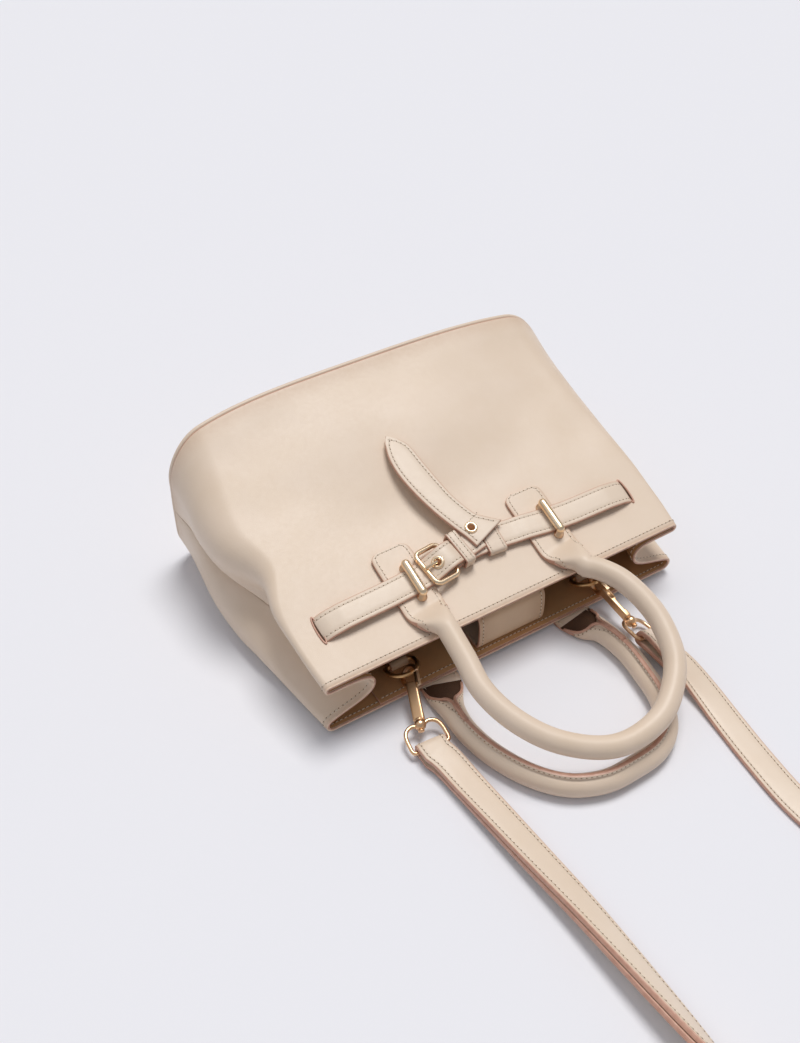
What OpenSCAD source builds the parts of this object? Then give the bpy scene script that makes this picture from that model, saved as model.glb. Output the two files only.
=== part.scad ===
// Small leather top handle bag with a detachable shoulder strap, lying on its back.
// X runs across the bag, Y from the handles towards the base, Z up from the surface that it lies on.

/* [Body] */
// Width across the top edge
top_w = 230; // [210:1:250]
// Width across the base
base_w = 258; // [240:1:280]
// Height of the body, from its top edge to its base
body_h = 158; // [145:1:180]
// Depth of the base, from the back to the front
base_d = 86; // [75:1:100]
// Gap between the front and the back at the mouth
mouth_d = 40; // [38:1:46]
// How far each side is folded in at the mouth
fold_in = 29; // [24:1:34]
// Radius of the corners of the base
base_r = 24; // [16:1:28]
// How far the front bulges out in its lower half
crown = 2.5; // [0:0.5:3]
// How far the front swells at the middle of the base
base_swell = 9; // [0:0.5:12]
// How far the base bows out at its middle
base_bow = 7; // [0:0.5:10]
// How much more the bag swells on the left than on the right
lean = 0.2; // [0:0.05:0.4]
// Thickness of the body leather
leather_t = 1.8; // [1.4:0.1:2]
// Radius of the piping round the base
piping_r = 1.6; // [1.2:0.1:2]

/* [Inside] */
// Thickness of the lining
lining_t = 0.8; // [0.6:0.1:1.2]
// Width of the leather facing inside the top edge
facing_w = 27; // [24:1:30]
// Thickness of the facing
facing_t = 1; // [0.8:0.1:1.2]
// Thickness of the board in the base
board_t = 2; // [1.5:0.1:2.5]
// Width of the closure tab
tab_w = 44; // [36:1:50]
// Thickness of the closure tab
tab_t = 1.6; // [1.2:0.1:1.8]
// Radius of the magnetic snap
snap_r = 7; // [5:0.5:7.5]
// Height of each half of the snap
snap_h = 1.4; // [1:0.1:1.4]

/* [Handles] */
// Reach of the front handle from the top edge to its middle line
front_reach = 98; // [90:1:104]
// Reach of the rear handle from the top edge to its middle line
rear_reach = 103; // [96:1:110]
// Radius of the rolled handle
handle_r = 6.2; // [5.4:0.1:6.4]
// Height of the stitched seam that runs along a handle
seam_h = 1.2; // [0.6:0.1:1.4]
// Wall of the leather rolled round the core
roll_t = 1.6; // [1.2:0.1:2]
// Width of the flat end that is sewn on the body
end_w = 24; // [22:0.5:25]
// Length of the flat end, from the top edge
end_l = 57; // [50:1:60]
// Thickness of the flat end
end_t = 2.2; // [1.8:0.1:2.4]

/* [Belt] */
// Width of the belt
belt_w = 15.5; // [14:0.5:16]
// Thickness of the belt
belt_t = 2; // [1.6:0.1:2.2]
// Radius of the bar over each handle end
bar_r = 2.3; // [2:0.1:2.6]
// Distance between the two posts of a bar
bar_span = 21.6; // [21:0.2:24]
// Radius of the buckle's wire
buckle_r = 1.3; // [1.1:0.1:1.5]
// Height of the buckle, across the belt
buckle_h = 24; // [23:0.5:26]
// Length of the buckle, along the belt
buckle_l = 16; // [15:0.5:18]
// Bore of each eyelet
eyelet_bore = 3.8; // [3.4:0.1:4.2]

/* [Strap and clasps] */
// Width of the shoulder strap
strap_w = 17; // [15:0.5:17]
// Thickness of the shoulder strap
strap_t = 2.8; // [2.4:0.1:3]
// Outer width of the ring inside the mouth
ring_w = 20; // [18:0.5:22]
// Radius of the ring's wire
ring_r = 1.3; // [1.1:0.1:1.5]
// Length of a clasp's shank
shank_l = 21; // [18:0.5:24]
// Width of a clasp's shank
shank_w = 6.4; // [5.6:0.2:7]
// Inner radius of the clasp's eye
eye_r = 4; // [3.8:0.1:4.4]
// Radius of the clasp's wire
clasp_r = 1.5; // [1.3:0.1:1.6]
// Outer width of the loop that holds the strap
loop_w = 24; // [23.6:0.2:26]
// Length of the loop that holds the strap
loop_l = 14; // [13:0.5:16]
// Radius of the loop's wire
loop_r = 1.2; // [1:0.1:1.4]

/* [Hidden] */
$fn = 40;

// Running gap between pieces that touch
gap = 0.3;
// Overrun of every cut
cut = 1;
slope = atan((base_d - mouth_d) / body_h);
y_mid = (body_h + 1.06 * base_bow + gap + 2 * piping_r - rear_reach - handle_r) / 2;
half_top = top_w / 2;
half_base = base_w / 2;
// Height of the outer face of the back over the handle ends
back_z = end_t + 2 * gap;
half_end = end_w / 2;

function mix(a, b, s) = a + (b - a) * s;
function clamp(s) = min(1, max(0, s));
function smooth(s) = let (c = clamp(s)) c * c * (3 - 2 * c);
function unit(v) = v / norm(v);
function reversed(list) = [for (i = [len(list) - 1 : -1 : 0]) list[i]];
function signed_power(a, e) = sign(a) * pow(abs(a), e);

// Direction of a route at point i, from its two neighbours
function heading(r, i) = unit(r[min(i + 1, len(r) - 1)] - r[max(i - 1, 0)]);

// Smooth curve through a few points, with n steps to each span
function spline(r, n) = concat([for (i = [0 : len(r) - 2]) for (k = [0 : n - 1])
    let (s = k / n, a = r[max(i - 1, 0)], b = r[i], c = r[i + 1], d = r[min(i + 2, len(r) - 1)])
    (2 * b + (c - a) * s + (2 * a - 5 * b + 4 * c - d) * s * s + (3 * b - a - 3 * c + d) * s * s * s) / 2],
    [r[len(r) - 1]]);

// Arc of radius r inside corner b, between the lines to a and to c
function fillet(a, b, c, r, n) = let (u = unit(a - b), w = unit(c - b),
    half = acos(u * w) / 2, m = b + unit(u + w) * r / sin(half),
    p = b + u * r / tan(half) - m, q = b + w * r / tan(half) - m)
    [for (k = [0 : n]) m + (p * sin((1 - k / n) * (180 - 2 * half))
        + q * sin(k / n * (180 - 2 * half))) / sin(180 - 2 * half)];

// Solid through a row of rings that all have the same number of points
module skin(rings) {
    n = len(rings[0]);
    last = len(rings) - 1;
    walls = [for (i = [0 : last - 1]) for (j = [0 : n - 1]) for (half = [0, 1])
        let (a = i * n + j, b = i * n + (j + 1) % n)
        half == 0 ? [a, b, b + n] : [a, b + n, a + n]];
    ends = [[for (j = [n - 1 : -1 : 0]) j], [for (j = [0 : n - 1]) last * n + j]];
    polyhedron(points = [for (r = rings) for (p = r) p], faces = concat(walls, ends), convexity = 8);
}

// Flat band along a route of [x, y, z] points on its lower face
module band(route, w, t) {
    skin([for (i = [0 : len(route) - 1]) let (d = heading(route, i), s = unit([-d[1], d[0], 0]),
        u = cross(d, s), p = route[i])
        [p - s * w / 2, p - s * w / 2 + u * t, p + s * w / 2 + u * t, p + s * w / 2]]);
}

module rod(a, b, r) {
    d = b - a;
    translate(a)
        rotate([0, acos(d[2] / norm(d)), atan2(d[1], d[0])])
            cylinder(r = r, h = norm(d));
}

// Round wire bent into a rectangle, w by l between its middle lines, with corners of radius c
module wire_loop(w, l, r, c) {
    for (x = [-1, 1]) for (y = [-1, 1])
        translate([x * (w / 2 - c), y * (l / 2 - c), 0])
            rotate([0, 0, x > 0 ? (y > 0 ? 0 : -90) : (y > 0 ? 90 : 180)])
                rotate_extrude(angle = 90)
                    translate([c, 0])
                        circle(r = r);
    for (y = [-1, 1])
        translate([c - w / 2, y * l / 2, 0])
            rotate([0, 90, 0])
                cylinder(r = r, h = w - 2 * c);
    for (x = [-1, 1])
        translate([x * w / 2, c - l / 2, 0])
            rotate([-90, 0, 0])
                cylinder(r = r, h = l - 2 * c);
}

// Turns everything onto the sloping front, with its outer face at height zero
module on_front() {
    translate([0, 0, mouth_d])
        rotate([slope, 0, 0])
            children();
}

// Outline of the body, at share v of its height
function front_z(v) = mix(mouth_d, base_d, v);
function seam_point(v) = [half_top - fold_in + (half_base - half_top + fold_in) * (1 - pow(1 - v, 1.6)),
    mix(mouth_d * 0.55, base_d * 0.49, v)];
function back_rise(v) = back_z * (1 - smooth((v - 0.38) / 0.14));
function corner_r(v) = mix(leather_t + 0.5 * gap + 0.5, base_r, smooth((v - 0.1) / 0.6));
function front_corner(v) = [mix(half_top + 6.5, half_base, pow(v, 0.8)), front_z(v)];
function back_corner(v) = [mix(half_top + 5.5, half_base, pow(v, 0.7)), back_rise(v)];
function late(v) = pow(clamp((v - 0.42) / 0.58), 2);
function swell(v, x, e) = late(v) * (1 - pow(min(1, abs(x) / half_base), e)) * (1 - lean * x / half_base);
function bow(v, x) = base_bow * swell(v, x, 3);
function bulge(v, x) = crown * pow(sin(180 * clamp((v - 0.42) / 0.58)), 2)
    * pow(1 - pow(min(1, x / half_top), 2), 2) + base_swell * swell(v, x, 4);
function half_section(v, corner, side) = let (s = seam_point(v) + [0, side * gap / 2],
    mid = [0, corner[1]], arc = fillet(s, corner, mid, corner_r(v), 6), x0 = arc[6][0])
    concat([s, mix(s, arc[0], 0.5)], arc,
        [for (k = [0.9, 0.78, 0.62, 0.42, 0.21, 0]) [x0 * k, corner[1]]]);
function mirrored(h) = concat(h, [for (i = [len(h) - 2 : -1 : 0]) [-h[i][0], h[i][1]]]);
function swelled(p, v, side) = [for (c = p) [c[0], c[1] + (side > 0 ? bulge(v, c[0])
    * smooth((c[1] - seam_point(v)[1]) / (front_z(v) - seam_point(v)[1])) : 0)]];
function inward(p, i, side, t) = let (d = unit(p[min(i + 1, len(p) - 1)] - p[max(i - 1, 0)]))
    p[i] + side * t * [-d[1], d[0]];
function shell_ring(v, corner, side) = let (p = swelled(mirrored(half_section(v, corner, side)), v, side),
    all = concat(p, [for (i = [len(p) - 1 : -1 : 0]) inward(p, i, side, leather_t)]),
    q = side > 0 ? all : reversed(all))
    [for (c = q) [c[0], v * body_h + bow(v, c[0]), c[1]]];
stations = [0, 0.08, 0.17, 0.27, 0.38, 0.45, 0.52, 0.62, 0.73, 0.84, 0.93, 1];

// Slots for the belt, and holes for the posts of the two bars
bar_x = [-44, 46.5];
bar_y = 33;
slot_far = 104.6;
slot_near = 97.4;
belt_y = 31.3;
module front_body() {
    color("bisque")
        difference() {
            skin([for (v = stations) shell_ring(v, front_corner(v), 1)]);
            on_front() {
                for (s = [-1, 1])
                    translate([s * (slot_far + slot_near) / 2, belt_y, -leather_t / 2])
                        cube([slot_far - slot_near, belt_w + 2 * gap, leather_t + 2 * cut], center = true);
                for (x = bar_x) for (s = [-1, 1])
                    translate([x, bar_y + s * bar_span / 2, -leather_t - cut])
                        cylinder(r = post_r + gap, h = leather_t + 2 * cut);
            }
        }
}

module back_body() {
    color("bisque")
        skin([for (v = stations) shell_ring(v, back_corner(v), -1)]);
}

// Plate that follows the base, drawn in by a margin, with its inner face at depth y
plate_steps = [-1, -0.985, -0.96, -0.92, -0.86, -0.75, -0.6, -0.4, -0.2, 0, 0.2, 0.4, 0.6, 0.75, 0.86, 0.92, 0.96, 0.985, 1];
module base_plate(m, y, t) {
    w = half_base - m;
    r = base_r - m;
    skin([for (k = plate_steps) let (x = k * w, e = max(0, abs(x) - w + r), drop = r - sqrt(max(0, r * r - e * e)),
        lo = m + drop, hi = base_d - m - drop + base_swell * swell(1, x, 4), d = y + bow(1, x))
        [[x, d, lo], [x, d, hi], [x, d + t, hi], [x, d + t, lo]]]);
}

module base_panel() {
    color("bisque")
        base_plate(2 * piping_r + 2.5 * gap, body_h + gap, leather_t);
}

// Piping round the edge of the base, its two ends meeting at the middle of the back
function base_edge(side) = let (c = side > 0 ? front_corner(1) : back_corner(1),
    p = swelled(mirrored(half_section(1, c, side)), 1, side))
    [for (i = [0 : len(p) - 1]) inward(p, i, side, piping_r)];
module base_piping() {
    f = base_edge(1);
    b = base_edge(-1);
    n = (len(b) - 1) / 2;
    route = concat([b[n] + [gap / 2, 0]], [for (i = [n - 1 : -1 : 1]) b[i]], [for (i = [1 : len(f) - 2]) f[i]],
        [for (i = [len(b) - 2 : -1 : n + 1]) b[i]], [b[n] - [gap / 2, 0]]);
    path = [for (c = route) [c[0], body_h + gap + piping_r + bow(1, c[0]), c[1]]];
    color("peru")
        skin([for (i = [0 : len(path) - 1]) let (d = heading(path, i), u = unit(cross(d, [0, 1, 0])), w = cross(u, d))
            [for (k = [0 : 7]) path[i] + piping_r * (u * cos(k * 45) + w * sin(k * 45))]]);
}

module base_board() {
    color("tan")
        base_plate(leather_t + 5 * gap, body_h - gap - board_t, board_t);
}

// Lining, a thin bag inside the body
function lining_ring(y, m) = let (v = y / body_h, w = seam_point(v)[0] - 3.5 - m,
    lo = back_rise(v) + leather_t + 1.5 * gap + m, hi = front_z(v) - leather_t - 2 * gap - m,
    r = mix(4, base_r - leather_t, smooth(v)))
    [for (c = [[1, 1], [-1, 1], [-1, -1], [1, -1]]) for (k = [0 : 4])
        let (turn = (c[0] * c[1] > 0 ? k : 4 - k) * 22.5)
        [c[0] * (w - r + r * cos(turn)), y, (lo + hi) / 2 + c[1] * ((hi - lo) / 2 - r + r * sin(turn))]];
lining_y = facing_w + 2;
lining_end = body_h - board_t - 3 * gap;
lining_rows = [for (v = stations) if (v > 0.2 && v < 0.95) v * body_h];
module lining() {
    color("saddlebrown")
        difference() {
            skin([for (y = concat([lining_y], lining_rows, [lining_end])) lining_ring(y, 0)]);
            skin([for (y = concat([lining_y - cut], lining_rows, [lining_end - lining_t]))
                lining_ring(y, lining_t)]);
        }
}

// Facings inside the top edge, and the tab that closes the mouth
facing_half = half_top - fold_in - 3;
facing_top = leather_t + gap;
module front_facing() {
    color("bisque")
        on_front()
            translate([-facing_half, gap + 0.3, -facing_top - facing_t])
                cube([2 * facing_half, facing_w, facing_t]);
}

back_face = back_z + leather_t + gap;
module back_facing() {
    color("bisque")
        translate([-facing_half, gap, back_face])
            cube([2 * facing_half, facing_w, facing_t]);
}

tab_x = 4;
tab_z = back_face + facing_t + gap;
tab_y = 7;
module tab_root() {
    color("bisque")
        translate([tab_x - tab_w / 2, tab_y + gap, tab_z])
            cube([tab_w, facing_w - tab_y, tab_t]);
}

snap_y = 15;
tab_face = facing_top + facing_t + 2 * snap_h + 3 * gap;
function from_front(y, h) = [y * cos(slope) - h * sin(slope), mouth_d + y * sin(slope) + h * cos(slope)];
tab_route = concat([[tab_y, tab_z], [tab_y - 2.6, tab_z + 1.2], [tab_y - 4, tab_z + 5],
    [tab_y - 4.4, mouth_d * 0.45], [tab_y - 3.8, mouth_d * 0.68], [tab_y - 1.6, mouth_d * 0.78]],
    [from_front(9, -tab_face), from_front(22, -tab_face)]);
module closure_tab() {
    color("bisque")
        skin([for (i = [0 : len(tab_route) - 1])
            let (d = heading(tab_route, i), p = tab_route[i],
                q = p + tab_t * (i == 0 ? [0, 1] : [d[1], -d[0]]))
            [[tab_x - tab_w / 2, p[0], p[1]], [tab_x - tab_w / 2, q[0], q[1]],
                [tab_x + tab_w / 2, q[0], q[1]], [tab_x + tab_w / 2, p[0], p[1]]]]);
}

module snap_stud() {
    color("gold")
        on_front()
            translate([tab_x, snap_y, -tab_face + gap])
                cylinder(r = snap_r, h = snap_h);
}

module snap_socket() {
    color("gold")
        on_front()
            translate([tab_x, snap_y, -facing_top - facing_t - gap - snap_h])
                cylinder(r = snap_r, h = snap_h);
}

// Section of a handle, from a flat strip at s = 0 to a rolled tube with its seam at s = 1
function handle_section(s, m, n, seam) = [for (k = [0 : n - 1]) let (a = 360 * k / n,
    w = mix(half_end, handle_r, s) - m, t = mix(end_t / 2, handle_r, s) - m,
    e = mix(0.3, 1, s), b = min(abs(a - seam), 360 - abs(a - seam)),
    lift = seam < 0 || b > 30 ? 0 : seam_h * s * (1 - b / 30))
    [(w + lift) * signed_power(cos(a), e), (t + lift) * signed_power(sin(a), e)]];

// Rings round a route of [x, y, z, s] points, the first and the last kept square to Y
function handle_rings(r, m, n, seam) = let (p = [for (q = r) [q[0], q[1], q[2]]])
    [for (i = [0 : len(r) - 1]) let (h = heading(p, i), end = i == 0 ? -1 : i == len(r) - 1 ? 1 : 0,
        d = end == 0 ? h : [0, end, 0], s = unit([-d[1], d[0], 0]), u = cross(d, s))
        [for (c = handle_section(r[i][3], m, n, seam)) p[i] - s * c[0] + u * c[1]]];

// Flat end on the front, with its flare to the handle
front_root_x = [-43, 46.5];
front_end_x = [-46, 42];
front_root = -2;
end_stop = 2 * gap;
module front_end(i) {
    color("bisque")
        on_front()
            difference() {
                skin(reversed([for (k = [[end_l, 0, 0], [end_l - 2, 0, 0], [38, 0, 0], [20, 0, 0],
                    [15, 0.15, 0.2], [10, 0.45, 0.55], [5, 0.75, 0.85], [front_root + end_stop, 1, 1]])
                    let (x = mix(front_end_x[i], front_root_x[i], k[2]), t = mix(end_t / 2, handle_r, k[1]))
                    [for (c = handle_section(k[1], k[0] == end_l ? 0.4 : 0, 20, -1))
                        [x + c[0], k[0], gap + t + c[1]]]]));
                for (s = [-1, 1])
                    translate([bar_x[i], bar_y + s * bar_span / 2, -cut])
                        cylinder(r = post_r + gap, h = end_t + 2 * gap + 2 * cut);
            }
}

// Flat end under the back
rear_end_x = [-46, 45];
rear_root = -1.5;
module rear_end(i) {
    color("bisque")
        translate([rear_end_x[i] - half_end, rear_root + gap, 0])
            cube([end_w, end_l - rear_root, end_t]);
}

// Route of the front handle on the slope, in shares of its reach
front_shares = [[-0.449, -0.2], [-0.464, -0.4], [-0.408, -0.612], [-0.286, -0.806], [-0.102, -0.95],
    [0.082, -1], [0.306, -0.964], [0.48, -0.847], [0.592, -0.704], [0.65, -0.51], [0.65, -0.347],
    [0.612, -0.19]];
front_lift = 3.2;
front_route = spline(concat([[front_root_x[0], front_root, gap + handle_r, 1]],
    [for (p = front_shares) [p[0] * front_reach, p[1] * front_reach,
        gap + handle_r - p[1] * front_lift, 1]],
    [[front_root_x[1] + 7, -8, gap + handle_r, 1], [front_root_x[1], front_root, gap + handle_r, 1]]), 2);
bore_m = roll_t;
core_m = roll_t + gap;
function inner_part(r, a) = [for (i = [a : len(r) - 1 - a]) r[i]];

module front_handle() {
    color("bisque")
        on_front()
            difference() {
                skin(handle_rings(front_route, 0, 12, 270));
                skin(handle_rings(inner_part(front_route, 1), bore_m, 10, -1));
            }
}

module front_handle_core() {
    color("tan")
        on_front()
            skin(handle_rings(inner_part(front_route, 2), core_m, 10, -1));
}

// Route of the rear handle on the floor, in shares of its reach
rear_shares = [[-0.48, -0.117], [-0.51, -0.243], [-0.52, -0.389], [-0.485, -0.573], [-0.398, -0.767],
    [-0.272, -0.913], [-0.107, -0.99], [0.058, -1], [0.233, -0.98], [0.369, -0.893], [0.456, -0.738],
    [0.49, -0.563], [0.505, -0.388], [0.485, -0.214], [0.456, -0.117]];
function rear_roll(i, n) = smooth(min(i, n - i) / 2.5);
rear_points = concat([[rear_end_x[0], rear_root, 0]],
    [for (p = rear_shares) [p[0] * rear_reach, p[1] * rear_reach, 0]], [[rear_end_x[1], rear_root, 0]]);
rear_route = spline([for (i = [0 : len(rear_points) - 1]) let (s = rear_roll(i, len(rear_points) - 1),
    p = rear_points[i]) [p[0], p[1], mix(end_t / 2, handle_r, s) + 0.05, s]], 2);

module rear_handle() {
    color("bisque")
        difference() {
            skin(handle_rings(rear_route, 0, 12, 150));
            skin(handle_rings(inner_part(rear_route, 5), bore_m, 10, -1));
        }
}

module rear_handle_core() {
    color("tan")
        skin(handle_rings(inner_part(rear_route, 6), core_m, 10, -1));
}

// Heights of the belt over the front: on the handle ends, in the keeper and over the buckle's bar
belt_h = end_t + 2 * gap;
low_h = 1.9;
sleeve_r = buckle_r + 0.2 + 0.8;
hump_h = low_h + 2 * sleeve_r + gap;
upper_h = low_h + belt_t + gap;
pivot = [-19.5, 36.9, low_h + sleeve_r];
pivot_turn = 8;
left_route = [[-105, belt_y, -5.2], [-94.5, belt_y, belt_h], [-60, 31.8, belt_h], [-44, 32.6, belt_h],
    [-33.5, 34.3, belt_h], [-22.3, 36.4, hump_h], [-17, 37.5, hump_h], [-13.4, 38.2, upper_h], [2, 41, upper_h]];
right_route = [[105, belt_y, -5.2], [94.5, belt_y, belt_h], [60, 31.9, belt_h], [44, 33.2, belt_h],
    [30, 35.3, belt_h], [25, 36, low_h], [12, 37.6, low_h], [0, 38.4, low_h], [-10, 38.1, low_h], [-19.5, 36.9, low_h]];
eyelet_at = [-26.6, 35.6];
eyelet_h = mix(belt_h, hump_h, (eyelet_at[0] + 33.5) / 11.2);
eyelet_tilt = atan((hump_h - belt_h) / 11.2);
barrel_r = eyelet_bore / 2 + 0.5;

module at_eyelet() {
    on_front()
        translate([eyelet_at[0], eyelet_at[1], eyelet_h])
            rotate([0, -eyelet_tilt, 0])
                children();
}

module belt_left() {
    color("bisque")
        difference() {
            on_front()
                band(left_route, belt_w, belt_t);
            at_eyelet()
                translate([0, 0, -cut])
                    cylinder(r = barrel_r + gap, h = belt_t + 2 * cut);
        }
}

module at_pivot() {
    on_front()
        translate(pivot)
            rotate([0, 0, pivot_turn])
                children();
}

module belt_right() {
    color("bisque")
        difference() {
            union() {
                on_front()
                    band(right_route, belt_w, belt_t);
                at_pivot()
                    rotate([90, 0, 0])
                        cylinder(r = sleeve_r, h = belt_w, center = true);
            }
            at_pivot() {
                rotate([90, 0, 0])
                    cylinder(r = buckle_r + 0.2, h = belt_w + 2 * cut, center = true);
                cube([14, prong_gap, 3 * sleeve_r], center = true);
            }
        }
}

// Loose bands that hold the belt together
module belt_sleeve(x, y, turn, l, top, half) {
    wall = 1.2;
    on_front()
        translate([x, y, 0])
            rotate([0, 0, turn])
                difference() {
                    translate([-l / 2, -half - wall, 0.4])
                        cube([l, 2 * (half + wall), top + gap + wall - 0.4]);
                    translate([-l / 2 - cut, -half, low_h - gap])
                        cube([l + 2 * cut, 2 * half, top + 2 * gap - low_h]);
                }
}

module keeper_band() {
    color("bisque")
        belt_sleeve(-10.9, 38.6, 6, 6.4, upper_h + belt_t + 0.9, belt_w / 2 + 1.5);
}

module belt_loop() {
    color("bisque")
        belt_sleeve(9.5, 37.9, -4, 11, low_h + belt_t, belt_w / 2 + 1);
}

// Pointed end that lies up the front
point_h = upper_h + belt_t + gap;
point_tilt = -0.4;
point_root = [-2, 34.2];
point_outline = [[-11.8, 119], [-14.9, 115], [-18, 105], [-18.6, 93.5], [-16.8, 79.5], [-13.2, 64.4],
    [-8.6, 51], [-5, 42], [-2.8, 34.6], [18.9, 43], [10.9, 49.7], [7, 54], [2.4, 67.6], [0.4, 79.8],
    [-1.3, 94], [-2.9, 108.4], [-7.4, 115.6]];
eyelet_two = [0.2, 45.8];
module on_point() {
    on_front()
        translate([0, point_root[1], point_h])
            rotate([point_tilt, 0, 0])
                translate([0, -point_root[1], 0])
                    children();
}

module pointed_strap() {
    color("bisque")
        on_point()
            difference() {
                linear_extrude(belt_t)
                    polygon(point_outline);
                translate([eyelet_two[0], eyelet_two[1], -cut])
                    cylinder(r = barrel_r + gap, h = belt_t + 2 * cut);
            }
}

module eyelet() {
    difference() {
        union() {
            cylinder(r = barrel_r, h = belt_t + gap);
            translate([0, 0, belt_t + gap])
                cylinder(r = barrel_r + 1.1, h = 0.5);
        }
        translate([0, 0, -cut])
            cylinder(r = eyelet_bore / 2, h = belt_t + 3 * cut);
    }
}

module eyelet_belt() {
    color("gold")
        at_eyelet()
            eyelet();
}

module eyelet_point() {
    color("gold")
        on_point()
            translate([eyelet_two[0], eyelet_two[1], 0])
                eyelet();
}

// Buckle frame round the bar that the belt's end is folded over
outer_h = belt_h + belt_t + gap + buckle_r + 0.2 - low_h - sleeve_r;
prong_gap = 4;
module buckle_frame() {
    l = norm([buckle_l, outer_h]);
    color("gold")
        at_pivot()
            rotate([0, atan(outer_h / buckle_l), 0])
                translate([-l / 2, 0, 0])
                    wire_loop(l, buckle_h - 2 * buckle_r, buckle_r, 2.4);
}

prong_r = 0.9;
prong_route = [[-1.9, 0, 0.3], [-5.9, 0, 0.4], [-8.8, 0, hump_h - low_h - sleeve_r + 1.6],
    [-buckle_l - 1, 0, outer_h + buckle_r + prong_r + 0.2]];
module buckle_prong() {
    color("gold")
        at_pivot()
            difference() {
                union() {
                    rotate([90, 0, 0])
                        cylinder(r = sleeve_r, h = prong_gap - 2 * gap - 0.4, center = true);
                    skin([for (i = [0 : len(prong_route) - 1])
                        let (d = heading(prong_route, i), u = cross(d, [0, 1, 0]))
                        [for (k = [0 : 7]) prong_route[i] + prong_r * (u * cos(k * 45) + [0, 1, 0] * sin(k * 45))]]);
                }
                rotate([90, 0, 0])
                    cylinder(r = buckle_r + 0.2, h = 2 * prong_gap, center = true);
            }
}

// Bars over the handle ends, each on two riveted posts
post_r = 1.7;
bar_h = belt_h + belt_t + 2 * gap + bar_r;
module bar(i) {
    color("gold")
        on_front()
            translate([bar_x[i], bar_y, 0]) {
                rod([0, -bar_span / 2 - bar_r, bar_h], [0, bar_span / 2 + bar_r, bar_h], bar_r);
                for (s = [-1, 1])
                    translate([0, s * bar_span / 2, 0]) {
                        translate([0, 0, -leather_t])
                            cylinder(r = post_r, h = bar_h + leather_t);
                        translate([0, 0, end_t + 2 * gap])
                            cylinder(r = post_r + 0.9, h = 1);
                    }
            }
}

// Rings in the mouth, each held by a folded leather tab
ring_x = [-62, 64];
ring_y = 17;
ring_lift = [13, 14];
ring_sleeve = ring_r + gap + 1.3;
ring_z = tab_z + ring_sleeve;
ring_arm = 4;
ring_bend = 2.2;
ring_c = ring_w / 2 - ring_r;
function ring_tilt(i) = asin((ring_lift[i] - ring_z) / (ring_arm + ring_c));
function apex(i) = [ring_x[i], ring_y - (ring_arm + ring_c) * cos(ring_tilt(i)), ring_lift[i]];
module ring(i) {
    color("gold")
        translate([ring_x[i], ring_y, ring_z])
            rotate([-ring_tilt(i), 0, 0]) {
                translate([ring_bend - ring_c, 0, 0])
                    rotate([0, 90, 0])
                        cylinder(r = ring_r, h = 2 * (ring_c - ring_bend));
                for (x = [-1, 1]) {
                    translate([x * (ring_c - ring_bend), -ring_bend, 0])
                        rotate([0, 0, x > 0 ? 0 : 90])
                            rotate_extrude(angle = 90)
                                translate([ring_bend, 0])
                                    circle(r = ring_r);
                    translate([x * ring_c, -ring_arm, 0])
                        rotate([-90, 0, 0])
                            cylinder(r = ring_r, h = ring_arm - ring_bend);
                }
                translate([0, -ring_arm, 0])
                    rotate([0, 0, 180])
                        rotate_extrude(angle = 180)
                            translate([ring_c, 0])
                                circle(r = ring_r);
            }
}

module ring_tab(i) {
    l = ring_w / 2 + 1;
    color("bisque")
        difference() {
            union() {
                translate([ring_x[i], ring_y, ring_z])
                    rotate([0, 90, 0])
                        cylinder(r = ring_sleeve, h = l, center = true);
                translate([ring_x[i] - l / 2, ring_y, tab_z])
                    cube([l, facing_w - ring_y, tab_t]);
            }
            translate([ring_x[i], ring_y, ring_z])
                rotate([0, 90, 0])
                    cylinder(r = ring_r + gap, h = l + 2 * cut, center = true);
        }
}

// Clasps: an eye with a sprung gate, a flat shank and a swivel pin
clasp_turn = [159, 184];
clasp_fall = [10, 9];
clasp_roll = [230, 270];
eye_c = eye_r + clasp_r;
boss_r = 3.2;
boss_y = eye_c + shank_l + boss_r;
// How far the eye is drawn along the clasp, so that the ring lies at its far side
seat = [eye_r - ring_r - 4.5 * gap, eye_r - ring_r - 3 * gap];
module at_clasp(i) {
    translate(apex(i))
        rotate([-clasp_fall[i], 0, clasp_turn[i]])
            rotate([0, clasp_roll[i], 0])
                translate([0, seat[i], 0])
                    children();
}

// Place of a point at distance d down the middle of clasp i
function down_clasp(i, d) = apex(i) + (d + seat[i]) * [-sin(clasp_turn[i]) * cos(clasp_fall[i]),
    cos(clasp_turn[i]) * cos(clasp_fall[i]), -sin(clasp_fall[i])];

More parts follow.
